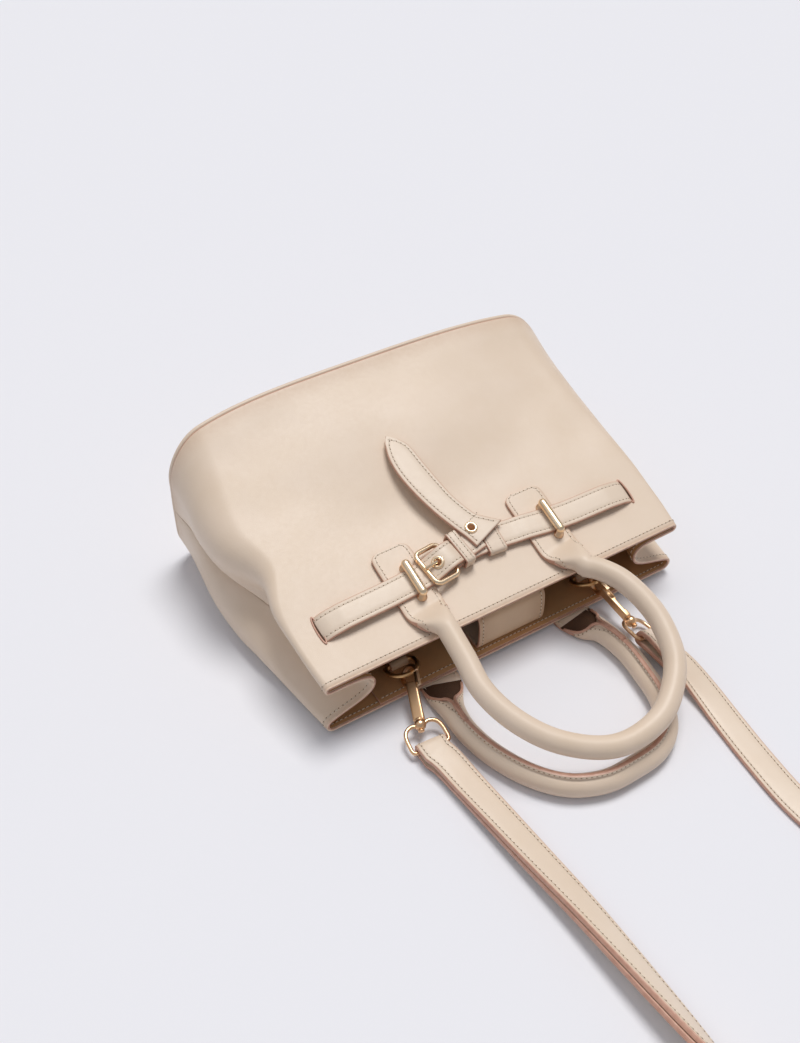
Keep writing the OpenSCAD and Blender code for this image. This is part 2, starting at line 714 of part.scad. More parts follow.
gate_x = eye_c - 0.6;
gate_half = 1.1;
gate_pin_y = eye_c + 1.7;
neck_l = 3.2;
module clasp(i) {
    color("gold")
        at_clasp(i) {
            rotate([0, 0, 90])
                rotate_extrude(angle = 268)
                    translate([eye_c, 0])
                        circle(r = clasp_r, $fn = 24);
            translate([-2, eye_c - clasp_r / 2, -clasp_r])
                cube([4, neck_l + clasp_r, 2 * clasp_r]);
            difference() {
                translate([-shank_w / 2, eye_c + neck_l - 1, -clasp_r])
                    cube([shank_w, shank_l - neck_l + 1 - 0.4, 2 * clasp_r]);
                for (z = [-1, 1])
                    translate([0, eye_c + shank_l / 2 + 2, z * (clasp_r + 0.1)])
                        cube([shank_w - 2.6, shank_l - 9, 0.8], center = true);
            }
            for (z = [-1, 1])
                translate([1.6, gate_pin_y - 1, z * (gate_half + 0.5) - 0.3])
                    cube([gate_x + 0.8 - 1.6, 2, 0.6]);
            translate([gate_x, gate_pin_y, 0])
                cylinder(r = 0.5, h = 2 * gate_half + 1.2, center = true);
            translate([0, eye_c + shank_l - 1, 0])
                rotate([-90, 0, 0])
                    cylinder(r = 1, h = 2 * boss_r + 2.6);
            translate([0, boss_y + boss_r + gap, 0])
                rotate([-90, 0, 0])
                    cylinder(r = 2, h = 1.2);
        }
}

// Sprung gate on its pin, closing the eye
module gate(i) {
    color("gold")
        at_clasp(i)
            difference() {
                translate([gate_x - gate_half, 0.2, -gate_half + 0.1])
                    cube([2 * gate_half, gate_pin_y + 0.8, 2 * gate_half - 0.2]);
                translate([gate_x, gate_pin_y, 0])
                    cylinder(r = 0.5 + 0.2, h = 4 * gate_half, center = true);
            }
}

// Loop that turns on the pin of the clasp and holds the strap
loop_turn = [176, 188];
loop_roll = [0, -30];
// Height of the loop's far bar, so that the strap folded round it lies on the floor
function bar_z(i) = strap_w / 2 * abs(sin(loop_roll[i])) + turn_r * cos(loop_roll[i]) + 0.2;
function loop_fall(i) = asin((down_clasp(i, boss_y)[2] - bar_z(i)) / loop_l);
loop_half = loop_w / 2 - loop_r;
module at_loop(i) {
    translate(down_clasp(i, boss_y))
        rotate([-loop_fall(i), 0, loop_turn[i]])
            rotate([0, loop_roll[i], 0])
                children();
}

module strap_loop(i) {
    color("gold")
        difference() {
            union() {
                at_loop(i)
                    translate([0, loop_l / 2, 0])
                        wire_loop(2 * loop_half, loop_l, loop_r, 2.1);
                translate(down_clasp(i, boss_y))
                    sphere(r = boss_r);
            }
            at_clasp(i)
                translate([0, boss_y - 2 * boss_r, 0])
                    rotate([-90, 0, 0])
                        cylinder(r = 1 + gap, h = 4 * boss_r);
        }
}

// Place of the loop's far bar, and the direction in which the strap leaves it
function loop_way(i) = [-sin(loop_turn[i]) * cos(loop_fall(i)), cos(loop_turn[i]) * cos(loop_fall(i)), -sin(loop_fall(i))];
function bar_at(i) = down_clasp(i, boss_y) + loop_l * loop_way(i);
turn_r = loop_r + gap + strap_t;
bar_split = loop_r + gap + strap_t / 2;
pair_split = (strap_t + gap) / 2;
strap_start = turn_r + 0.2;
function strap_end(i) = bar_at(i) + strap_start * loop_way(i);

// Route of the shoulder strap on the floor: [x, y, roll, half the distance between its two layers]
coil = [38, -350];
coil_r = 95;
slider_y = -300;
strap_route = concat([[strap_end(0)[0], strap_end(0)[1], 0, bar_split],
    [-72, -50, -3, mix(pair_split, bar_split, 0.5)],
    [-70.5, -66, -7, pair_split], [-68.5, -90, -12, pair_split], [-66, -120, -18, pair_split],
    [-63, -155, -27, pair_split], [-61, -190, -38, pair_split], [-59, -228, -52, pair_split],
    [-57.5, -262, -75, pair_split], [-57, -285, -90, pair_split], [-57, slider_y, -90, pair_split],
    [-57, -315, -90, pair_split], [-57, coil[1], -90, 0]],
    [for (a = [205 : 25 : 355]) [coil[0] + coil_r * cos(a), coil[1] + coil_r * sin(a), -90, 0]],
    [[131, -320, -80, 0], [120, -285, -64, 0], [101, -255, -42, 0], [84, -225, -24, 0],
    [71.5, -195, -10, 0], [67, -162, -2, 0], [68.5, -130, 0, 0], [71, -105, 1, 0], [73, -82, 6, 0.5],
    [72.2, -64, 14, pair_split + gap], [strap_end(1)[0], strap_end(1)[1], 30, bar_split]]);
strap_curve = spline(strap_route, 2);
function slider_lift(y) = 2 * (1 - smooth((abs(y - slider_y) - 8) / 30));
function strap_section(q, h, layer) = let (d = unit([h[0], h[1], 0]), s = [-d[1], d[0], 0], up = [0, 0, 1],
    side = s * cos(q[2]) + up * sin(q[2]), face = up * cos(q[2]) - s * sin(q[2]),
    z = strap_w / 2 * abs(sin(q[2])) + (q[3] + strap_t / 2) * abs(cos(q[2])) + 0.2
        + (q[0] < 0 ? slider_lift(q[1]) : 0),
    p = [q[0], q[1], z] + face * q[3] * layer, w = strap_w / 2, t = strap_t / 2, c = 0.7)
    [for (k = [[w - c, -t], [-w + c, -t], [-w, -t + c], [-w, t - c], [-w + c, t], [w - c, t], [w, t - c], [w, -t + c]])
        p + side * k[0] + face * k[1]];
function strap_rings(r, a, b, layer) = [for (i = [a : b]) strap_section(r[i],
    i == 0 ? loop_way(0) : i == len(r) - 1 ? -loop_way(1) : heading(r, i), layer)];
strap_last = len(strap_curve) - 1;

// Ring that leads the under layer into its turn round the bar
function turn_ring(i) = let (b = bar_at(i) + 0.4 * loop_way(i), s = i == 0 ? 1 : -1)
    strap_section([b[0], b[1], i == 0 ? 0 : 30, bar_split], s * loop_way(i), -1);

module shoulder_strap() {
    color("bisque")
        skin(strap_rings(strap_curve, 0, strap_last, 1));
}

module strap_turn(i) {
    difference() {
        at_loop(i)
            translate([0, loop_l, 0])
                rotate([0, 90, 0])
                    cylinder(r = turn_r, h = strap_w, center = true);
        at_loop(i)
            translate([0, loop_l, 0])
                rotate([0, 90, 0])
                    cylinder(r = loop_r + gap, h = strap_w + 2 * cut, center = true);
    }
}

module strap_return() {
    color("bisque") {
        strap_turn(0);
        skin(concat([turn_ring(0)], strap_rings(strap_curve, 0, 22, -1)));
    }
}

module strap_end_right() {
    color("bisque") {
        strap_turn(1);
        skin(concat(strap_rings(strap_curve, strap_last - 2, strap_last, -1), [turn_ring(1)]));
    }
}

module strap_slider() {
    t = pair_split + strap_t / 2 + gap;
    w = strap_w / 2 + gap;
    color("gold")
        translate([-57, slider_y, strap_w / 2 + 0.2 + slider_lift(slider_y)])
            difference() {
                cube([2 * (t + 1.4), 6, 2 * (w + 1.6)], center = true);
                cube([2 * t, 6 + 2 * cut, 2 * w], center = true);
            }
}

module place() {
    translate([0, -y_mid, 0])
        children();
}

place() front_body();
place() back_body();
place() base_panel();
place() base_piping();
place() base_board();
place() lining();
place() front_facing();
place() back_facing();
place() closure_tab();
place() tab_root();
place() snap_stud();
place() snap_socket();
place() front_end(0);  // front_end_left
place() front_end(1);  // front_end_right
place() rear_end(0);  // rear_end_left
place() rear_end(1);  // rear_end_right
place() front_handle();
place() front_handle_core();
place() rear_handle();
place() rear_handle_core();
place() belt_left();
place() belt_right();
place() keeper_band();
place() belt_loop();
place() pointed_strap();
place() eyelet_belt();
place() eyelet_point();
place() buckle_frame();
place() buckle_prong();
place() bar(0);  // bar_left
place() bar(1);  // bar_right
place() ring(0);  // ring_left
place() ring(1);  // ring_right
place() ring_tab(0);  // ring_tab_left
place() ring_tab(1);  // ring_tab_right
place() clasp(0);  // clasp_left
place() clasp(1);  // clasp_right
place() gate(0);  // gate_left
place() gate(1);  // gate_right
place() strap_loop(0);  // strap_loop_left
place() strap_loop(1);  // strap_loop_right
place() shoulder_strap();
place() strap_return();
place() strap_end_right();
place() strap_slider();
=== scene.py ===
# Looks of a small leather top handle bag that lies on its back, with its strap beside it.
# Lengths are in millimetres, as they are in the part's source, until place() makes them metres.
import math

import bpy
import numpy as np
from mathutils import Matrix, Vector, noise


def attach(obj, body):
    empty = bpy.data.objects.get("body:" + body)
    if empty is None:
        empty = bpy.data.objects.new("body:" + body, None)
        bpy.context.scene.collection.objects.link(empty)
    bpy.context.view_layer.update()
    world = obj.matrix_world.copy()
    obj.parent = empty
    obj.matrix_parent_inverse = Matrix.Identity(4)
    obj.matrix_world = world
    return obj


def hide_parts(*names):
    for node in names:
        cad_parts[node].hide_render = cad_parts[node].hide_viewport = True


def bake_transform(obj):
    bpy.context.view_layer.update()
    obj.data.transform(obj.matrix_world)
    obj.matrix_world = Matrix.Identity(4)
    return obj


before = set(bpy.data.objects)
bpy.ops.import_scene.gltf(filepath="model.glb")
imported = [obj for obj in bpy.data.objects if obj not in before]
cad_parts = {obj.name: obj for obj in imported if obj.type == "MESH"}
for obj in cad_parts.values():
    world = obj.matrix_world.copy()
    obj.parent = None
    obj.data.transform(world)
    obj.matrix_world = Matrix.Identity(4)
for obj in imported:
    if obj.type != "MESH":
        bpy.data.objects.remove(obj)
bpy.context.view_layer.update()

# Sizes of the part, under the names of its source
TOP_W, BASE_W, BODY_H, BASE_D, MOUTH_D = 230, 258, 158, 86, 40
FOLD_IN, BASE_R, CROWN, BASE_SWELL, BASE_BOW, LEAN = 29, 24, 2.5, 9, 7, 0.2
LEATHER_T, PIPING_R = 1.8, 1.6
FACING_W, FACING_T, TAB_W, TAB_T = 27, 1.0, 44, 1.6
FRONT_REACH, REAR_REACH, HANDLE_R = 98, 103, 6.2
END_W, END_L, END_T = 24, 57, 2.2
BELT_W, BELT_T, BUCKLE_R, BUCKLE_H, BUCKLE_L = 15.5, 2, 1.3, 24, 16
STRAP_W, STRAP_T = 17, 2.8
RING_W, RING_R, SHANK_L, EYE_R, CLASP_R = 20, 1.3, 21, 4, 1.5
LOOP_W, LOOP_L, LOOP_R = 24, 14, 1.2
GAP = 0.3
SLOPE = math.atan((BASE_D - MOUTH_D) / BODY_H)
Y_MID = (BODY_H + 1.06 * BASE_BOW + GAP + 2 * PIPING_R - REAR_REACH - HANDLE_R) / 2
HALF_TOP, HALF_BASE, BACK_Z = TOP_W / 2, BASE_W / 2, END_T + 2 * GAP

# Camera, solved from the lines of the body in the photograph: its place on the bag's axes, its turns in
# degrees, and its focal length in pixels of the photograph's height
CAMERA_SPOT = (-295.34, -369.78, 567.96)
YAW, PITCH, ROLL = 31.269, 44.828, -0.113
FOCAL, PHOTO_HEIGHT, SENSOR_HEIGHT = 1299.05, 1043, 24


def mix(a, b, s):
    return a + (b - a) * s


def clamp(s):
    return min(1.0, max(0.0, s))


def smooth(s):
    s = clamp(s)
    return s * s * (3 - 2 * s)


def unit(v):
    v = np.asarray(v, float)
    return v / max(np.linalg.norm(v), 1e-9)


def heading(route, i):
    return unit(route[min(i + 1, len(route) - 1)] - route[max(i - 1, 0)])


def left_of(d):
    return np.array([-d[1], d[0]])


def signed_power(a, e):
    return math.copysign(abs(a) ** e, a)


def through(a, b, c, d, s):
    """Smooth curve from b to c at share s, led by the values a and d beside them."""
    return (2 * b + (c - a) * s + (2 * a - 5 * b + 4 * c - d) * s * s + (3 * b - a - 3 * c + d) * s ** 3) / 2


def spline(route, n):
    """Smooth line through the points of a route, with n steps between each two."""
    r = [np.asarray(p, float) for p in route]
    out = []
    for i in range(len(r) - 1):
        a, b, c, d = r[max(i - 1, 0)], r[i], r[i + 1], r[min(i + 2, len(r) - 1)]
        out += [through(a, b, c, d, k / n) for k in range(n)]
    return out + [r[-1]]


def place(points):
    """Millimetres of the bag to metres of the frame."""
    p = np.array(points, float).reshape(-1, 3)
    return (p - [0, Y_MID, 0]) * 0.001


def on_front(points):
    """Points on the sloping front, as across, up the slope and off the slope, to the bag's axes."""
    p = np.array(points, float).reshape(-1, 3)
    c, s = math.cos(SLOPE), math.sin(SLOPE)
    return np.stack([p[:, 0], p[:, 1] * c - p[:, 2] * s, MOUTH_D + p[:, 1] * s + p[:, 2] * c], 1)


def turned(axis, degrees):
    return np.array(Matrix.Rotation(math.radians(degrees), 3, axis))


def around(n):
    """Even angles of a full turn."""
    return np.linspace(0, 2 * math.pi, n, endpoint=False)


def tube_points(path, radius, over, n, closed=False, flat=1.0):
    """Rings of n points round a path; over is the direction that flat thins the tube along."""
    points, last = [], len(path)
    for k, p in enumerate(path):
        d = unit(path[(k + 1) % last] - path[k - 1]) if closed else heading(path, k)
        w = unit(np.cross(d, over))
        u = np.cross(w, d) * flat
        r = radius[k] if isinstance(radius, list) else radius
        points += [p + r * (w * math.cos(a) + u * math.sin(a)) for a in around(n)]
    return np.array(points)


def set_camera():
    yaw, pitch, roll = (math.radians(degrees) for degrees in (YAW, PITCH, ROLL))
    right = Vector((math.cos(yaw), -math.sin(yaw), 0))
    level = Vector((math.sin(yaw), math.cos(yaw), 0))
    ahead = level * math.cos(pitch) - Vector((0, 0, 1)) * math.sin(pitch)
    up = level * math.sin(pitch) + Vector((0, 0, 1)) * math.cos(pitch)
    side = right * math.cos(roll) + up * math.sin(roll)
    top = up * math.cos(roll) - right * math.sin(roll)
    data = bpy.data.cameras.new("photo_camera")
    data.sensor_fit, data.sensor_height = "VERTICAL", SENSOR_HEIGHT
    data.lens = FOCAL * SENSOR_HEIGHT / PHOTO_HEIGHT
    data.clip_start, data.clip_end = 0.01, 50
    camera = bpy.data.objects.new("photo_camera", data)
    spot = Vector(place([CAMERA_SPOT])[0])
    turn = Matrix((side, top, -ahead)).transposed().to_4x4()
    camera.matrix_world = Matrix.Translation(spot) @ turn
    bpy.context.scene.collection.objects.link(camera)
    bpy.context.scene.camera = camera


set_camera()


# Finishes
def both_ways(operation):
    """A Math operation as an operator and as its reflected form, so that 1 - mask works."""
    return (lambda self, other: self.math(operation, self, other),
            lambda self, other: self.math(operation, other, self))


class Field:
    """A shader socket that adds its Math nodes from an expression."""

    def __init__(self, bench, socket):
        self.bench, self.socket = bench, socket

    def math(self, operation, *values):
        return self.bench.node("ShaderNodeMath", {"operation": operation}, dict(enumerate(values)))

    __add__, __radd__ = both_ways("ADD")
    __sub__, __rsub__ = both_ways("SUBTRACT")
    __mul__, __rmul__ = both_ways("MULTIPLY")
    __truediv__, __rtruediv__ = both_ways("DIVIDE")

    def clipped(self):
        return self.math("MINIMUM", self.math("MAXIMUM", self, 0.0), 1.0)

    def over(self, low, high):
        return ((self - low) / (high - low)).clipped()


class Bench:
    """Makes one finish: every node comes from node()."""

    def __init__(self, name):
        self.material = bpy.data.materials.new(name)
        self.material.use_nodes = True
        self.tree = self.material.node_tree
        self.tree.nodes.clear()

    def node(self, kind, settings=None, inputs=None, output=0):
        n = self.tree.nodes.new(kind)
        for key, value in (settings or {}).items():
            setattr(n, key, value)
        for key, value in (inputs or {}).items():
            socket = n.inputs[key]
            if isinstance(value, Field):
                self.tree.links.new(value.socket, socket)
            else:
                socket.default_value = value
        return Field(self, n.outputs[output]) if len(n.outputs) else n

    def spots(self):
        return self.node("ShaderNodeTexCoord", output="Object")

    def noise(self, scale, detail=3.0, rough=0.5, at=None):
        return self.node("ShaderNodeTexNoise", {"noise_dimensions": "3D"},
                         {"Vector": at or self.spots(), "Scale": scale, "Detail": detail, "Roughness": rough})

    def cells(self, scale, at, feature):
        return self.node("ShaderNodeTexVoronoi", {"feature": feature}, {"Vector": at, "Scale": scale})

    def blend(self, share, a, b):
        return self.node("ShaderNodeMix", {"data_type": "RGBA"}, {0: share, 6: a, 7: b}, output=2)

    def mark(self, name):
        return self.node("ShaderNodeAttribute", {"attribute_name": name}, output="Fac")

    def bump(self, height, distance, strength=1.0, under=None):
        inputs = {"Height": height, "Distance": distance, "Strength": strength}
        if under is not None:
            inputs["Normal"] = under
        return self.node("ShaderNodeBump", inputs=inputs)

    def surface(self, **inputs):
        named = {k.replace("_", " "): v for k, v in inputs.items()}
        shader = self.node("ShaderNodeBsdfPrincipled", inputs=named)
        self.node("ShaderNodeOutputMaterial", inputs={"Surface": shader})
        return self.material


def paint(r, g, b):
    """Colour as a screen shows it, to the shader's own scale."""
    return tuple(((c / 255 + 0.055) / 1.055) ** 2.4 if c > 10 else c / 3294.6 for c in (r, g, b)) + (1.0,)


def leather(name, mid, deep, rub, rough=0.44):
    """Smooth calf: fine pores, faint mottling, a soft satin coat, darker where hands and edges rub."""
    m = Bench(name)
    at = m.spots()
    wear = m.mark("wear")
    mottle = m.noise(38.0, 4.0, 0.55, at).over(0.32, 0.7)
    fine = m.noise(420.0, 3.0, 0.6, at)
    pores = m.cells(1500.0, at, "DISTANCE_TO_EDGE").over(0.0, 0.35)
    colour = m.blend(mottle * 0.55, mid, deep)
    colour = m.blend((wear * (0.5 + fine * 0.9)).clipped() * 0.55, colour, rub)
    undulate = m.bump(m.noise(26.0, 2.0, 0.5, at), 0.0007, 0.35)
    creased = m.bump(m.noise(260.0, 4.0, 0.62, at), 0.00012, 0.35, undulate)
    grain = m.bump(pores * (0.6 + fine * 0.8), 0.00005, 0.5, creased)
    return m.surface(Base_Color=colour, Roughness=(rough + (fine - 0.5) * 0.16 + wear * 0.05).clipped(),
                     Specular_IOR_Level=0.42, Coat_Weight=0.1, Coat_Roughness=0.3, Normal=grain)


def edge_paint(name, mid, deep):
    """Painted cut edge: a thick soft film, a little uneven."""
    m = Bench(name)
    at = m.spots()
    patchy = m.noise(300.0, 4.0, 0.6, at)
    colour = m.blend(patchy.over(0.35, 0.7), mid, deep)
    film = m.bump(m.noise(900.0, 3.0, 0.5, at), 0.0001, 0.5)
    return m.surface(Base_Color=colour, Roughness=0.34 + patchy * 0.14, Coat_Weight=0.25, Coat_Roughness=0.2,
                     Normal=film)


def thread_finish(name, light, dark):
    """Waxed polyester thread with the twist of its plies."""
    m = Bench(name)
    at = m.spots()
    twist = m.node("ShaderNodeTexWave", {"wave_type": "BANDS", "bands_direction": "DIAGONAL"},
                   {"Vector": at, "Scale": 900.0, "Distortion": 1.5}, output="Fac")
    colour = m.blend(twist * 0.6, light, dark)
    return m.surface(Base_Color=colour, Roughness=0.55 + twist * 0.1, Normal=m.bump(twist, 0.0001, 0.6))


# Dark finish for needle holes, cuts and bores: painted shade of their depth, a little mottled
def needle_hole(name, dark):
    m = Bench(name)
    shade = m.noise(800.0, 2.0)
    return m.surface(Base_Color=m.blend(shade * 0.5, dark, paint(120, 96, 74)), Roughness=0.7 + shade * 0.2)


def lining_finish(name, mid, deep):
    """Brushed lining cloth: a short nap over a plain weave."""
    m = Bench(name)
    at = m.spots()
    nap = m.noise(1400.0, 4.0, 0.7, at)
    cloud = m.noise(60.0, 3.0, 0.5, at)
    weave = m.node("ShaderNodeTexWave", {"wave_type": "BANDS", "bands_direction": "X"},
                   {"Vector": at, "Scale": 620.0, "Distortion": 0.8}, output="Fac")
    colour = m.blend((nap * 0.7 + cloud * 0.5).over(0.3, 0.9), mid, deep)
    return m.surface(Base_Color=colour, Roughness=0.86 + nap * 0.1, Sheen_Weight=0.15, Sheen_Roughness=0.4,
                     Normal=m.bump(nap + weave * 0.4, 0.00018, 0.6))


def gold_finish(name, mid, deep, rough=0.13):
    """Pale gold plate, polished, with hair scratches and a thin haze where it is handled."""
    m = Bench(name)
    at = m.spots()
    haze = m.noise(90.0, 3.0, 0.55, at)
    stretched = m.node("ShaderNodeMapping", inputs={"Vector": at, "Scale": (1.0, 0.12, 1.0)})
    hairs = m.noise(2600.0, 4.0, 0.7, stretched)
    colour = m.blend(haze.over(0.3, 0.75), mid, deep)
    worn = (rough + (haze - 0.4) * 0.1 + (hairs - 0.5) * 0.08).clipped()
    return m.surface(Base_Color=colour, Metallic=1.0, Roughness=worn, Normal=m.bump(haze, 0.00008, 0.12))


def board_finish(name, mid, deep):
    m = Bench(name)
    at = m.spots()
    fibre = m.noise(700.0, 5.0, 0.7, at)
    return m.surface(Base_Color=m.blend(fibre, mid, deep), Roughness=0.8 + fibre * 0.1,
                     Normal=m.bump(fibre, 0.0002, 0.5))


def core_finish(name, mid, deep):
    m = Bench(name)
    at = m.spots()
    cord = m.node("ShaderNodeTexWave", {"wave_type": "RINGS", "rings_direction": "SPHERICAL"},
                  {"Vector": at, "Scale": 240.0, "Distortion": 3.0}, output="Fac")
    return m.surface(Base_Color=m.blend(cord, mid, deep), Roughness=0.85 + cord * 0.1,
                     Normal=m.bump(cord, 0.0003, 0.4))


CREAM = leather("cream_leather", paint(226, 206, 186), paint(219, 197, 173), paint(202, 170, 144))
TABS = leather("tab_leather", paint(227, 209, 190), paint(221, 200, 178), paint(203, 172, 146), 0.42)
# Inner side of the leather, darker and warmer than its face: painted shade and warm bounced light inside the
# mouth
INSIDE_PAINTED_SHADE = leather("inside_leather_painted_shade", paint(204, 156, 108), paint(188, 140, 94), paint(178, 132, 92), 0.55)
# Tab leather made darker and warmer: painted shade for the closure tab and ring tabs inside the mouth
SHADED = leather("shaded_tab_leather", paint(212, 182, 150), paint(202, 170, 138), paint(186, 152, 122), 0.45)
EDGE = edge_paint("edge_paint", paint(205, 160, 138), paint(190, 140, 118))
# Paler edge paint for the crest of the mouth's rim: a painted highlight
EDGE_PAINTED_HIGHLIGHT = edge_paint("edge_paint_painted_highlight", paint(232, 206, 182), paint(220, 188, 162))
THREAD = thread_finish("cream_thread", paint(236, 224, 206), paint(205, 188, 166))
# Needle holes in painted shade
HOLE = needle_hole("needle_hole", paint(150, 124, 100))
# Near-black brown for the lens in each belt slot: painted shade in the cut
SHADE = needle_hole("slot_shade", paint(74, 46, 30))
# Dark orange-brown disc inside each eyelet: painted shade in the hole
BORE_PAINTED_SHADE = needle_hole("eyelet_bore", paint(140, 80, 30))
LINING = lining_finish("brown_lining", paint(98, 66, 42), paint(62, 40, 26))
GOLD = gold_finish("pale_gold", paint(250, 228, 198), paint(240, 208, 168), 0.28)
DULL_GOLD = gold_finish("ring_gold", paint(240, 200, 146), paint(226, 182, 126), 0.38)
PEACH = gold_finish("peach_gold", paint(242, 204, 166), paint(232, 188, 144), 0.3)
SATIN = gold_finish("satin_gold", paint(240, 204, 164), paint(228, 188, 144), 0.42)
BOARD = board_finish("grey_board", paint(150, 138, 122), paint(120, 108, 94))
CORE = core_finish("cord_core", paint(206, 196, 178), paint(170, 158, 138))


# Making pieces
def make_piece(name, points, faces, finishes, body="bag_body", stands_for=(), finish_of=None, wear=None):
    """A plain mesh in the frame's place, riding on its body."""
    mesh = bpy.data.meshes.new(name)
    mesh.from_pydata([tuple(p) for p in place(points)], [], [tuple(int(i) for i in f) for f in faces])
    for finish in finishes:
        mesh.materials.append(finish)
    mesh.polygons.foreach_set("use_smooth", [True] * len(mesh.polygons))
    if finish_of is not None:
        mesh.polygons.foreach_set("material_index", [int(k) for k in finish_of])
    if wear is not None:
        mesh.attributes.new("wear", "FLOAT", "POINT").data.foreach_set("value", np.asarray(wear, np.float32))
    mesh.validate()
    piece = bpy.data.objects.new(name, mesh)
    bpy.context.scene.collection.objects.link(piece)
    if body is not None:
        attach(piece, body)
    if stands_for:
        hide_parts(*stands_for)
    return piece


def skin_faces(rows, width, ring_closed=False):
    """Quads through rows of points, each row closed on itself; the last row meets the first, or both have
    caps."""
    faces = []
    last = rows if ring_closed else rows - 1
    for i in range(last):
        a0, b0 = i * width, ((i + 1) % rows) * width
        for j in range(width):
            k = (j + 1) % width
            faces.append((a0 + j, a0 + k, b0 + k, b0 + j))
    if not ring_closed:
        faces.append(tuple(range(width - 1, -1, -1)))
        faces.append(tuple((rows - 1) * width + j for j in range(width)))
    return faces


def outward(piece):
    """Turns the faces of a closed piece outwards if its volume comes out negative."""
    mesh = piece.data
    mesh.calc_loop_triangles()
    co = np.empty(len(mesh.vertices) * 3)
    mesh.vertices.foreach_get("co", co)
    co = co.reshape(-1, 3)
    tri = np.empty(len(mesh.loop_triangles) * 3, int)
    mesh.loop_triangles.foreach_get("vertices", tri)
    a, b, c = co[tri.reshape(-1, 3)].transpose(1, 0, 2)
    volume = np.einsum("ij,ij->i", a, np.cross(b, c)).sum()
    if volume < 0:
        mesh.flip_normals()
    return piece


def flat_section(width, thickness, soft=0.55, crown=0.0, groove=None):
    """Rounded strip section as (across, up, edge share), up from zero to its thickness; the groove lies
    under a row of stitches that far in from each edge."""
    w, t, r = width / 2, thickness, min(soft, thickness / 2)
    top = [-w + r, -w + r + 0.5]
    if groove:
        top += [-w + groove - 0.7, -w + groove - 0.3, -w + groove, -w + groove + 0.3, -w + groove + 0.7]
    top += [s * w for s in (-0.35, -0.12, 0.12, 0.35)]
    if groove:
        top += [w - groove - 0.7, w - groove - 0.3, w - groove, w - groove + 0.3, w - groove + 0.7]
    top += [w - r - 0.5, w - r]
    out = []
    for x in top:
        dip = 0.0
        if groove:
            dip = 0.16 * max(0.0, 1 - abs(abs(x) - (w - groove)) / 0.7)
        out.append((x, t + crown * (1 - (x / w) ** 2) - dip, 0.0))
    arc = [(math.sin(a), math.cos(a)) for a in np.radians([22, 45, 68, 90])]
    out += [(w - r + r * s, t - r + r * c, 1.0) for s, c in arc]
    out += [(w - r + r * c, r - r * s, 1.0) for s, c in arc[:-1]]
    out += [(w - r, 0.0, 0.0)]
    out += [(s * w, 0.0, 0.0) for s in (0.4, 0.0, -0.4)]
    out += [(-w + r, 0.0, 0.0)]
    out += [(-w + r - r * s, r - r * c, 1.0) for s, c in arc]
    out += [(-w + r - r * c, t - r + r * s, 1.0) for s, c in arc[:-1]]
    return out


def sweep(name, route, across, above, section, finishes, body, stands_for=(), rounded=0.5, on=None):
    """Strip along a route on its lower face, with rounded ends; across and above are its directions there."""
    route = [np.asarray(p, float) for p in route]
    n, w, t = len(route), max(abs(c[0]) for c in section), max(c[1] for c in section)
    first, last = heading(route, 0), heading(route, n - 1)
    rings, shares = [], []

    def add_ring(i, p, inset=0.0):
        rings.append([p + across[i] * (x * (w - inset) / w)
                      + above[i] * (t / 2 + (u - t / 2) * (t / 2 - inset * 0.8) / (t / 2))
                      for x, u, edge in section])
        shares.append([1.0 if inset else edge for x, u, edge in section])

    end_rings = ((rounded, 0.0), (0.35 * rounded, 0.3 * rounded))
    for inset, back in end_rings:
        add_ring(0, route[0] + first * back, inset)
    for i, p in enumerate(route):
        if i == 0:
            p = p + first * rounded
        if i == n - 1:
            p = p - last * rounded
        add_ring(i, p)
    for inset, back in end_rings[::-1]:
        add_ring(n - 1, route[-1] - last * back, inset)
    points = np.array([p for r in rings for p in r])
    flags = [edge for r in shares for edge in r]
    faces = skin_faces(len(rings), len(section))
    which = [1 if len(f) > 4 or min(flags[k] for k in f) > 0.5 else 0 for f in faces]
    wear = np.tile([smooth((abs(c[0]) / w - 0.72) / 0.28) for c in section], len(rings))
    placed = on(points) if on else points
    return outward(make_piece(name, placed, faces, finishes, body, stands_for, which, wear))


# Stitching
THREAD_OUT = 0.06
stitch_rows = {}


def stitch(body, points, normals):
    """Keeps a row of stitches for a body: points on the surface and the surface's directions there."""
    stitch_rows.setdefault(body, []).append((np.asarray(points, float), np.asarray(normals, float)))


# What the tree is given: metres, and radians for the slant of each stitch
SEWING = (("Pitch", 0.0027), ("Stitch length", 0.0021), ("Thread width", 0.00062), ("Hole width", 0.00078),
          ("Slant", 0.10), ("Thread", THREAD), ("Hole", HOLE))


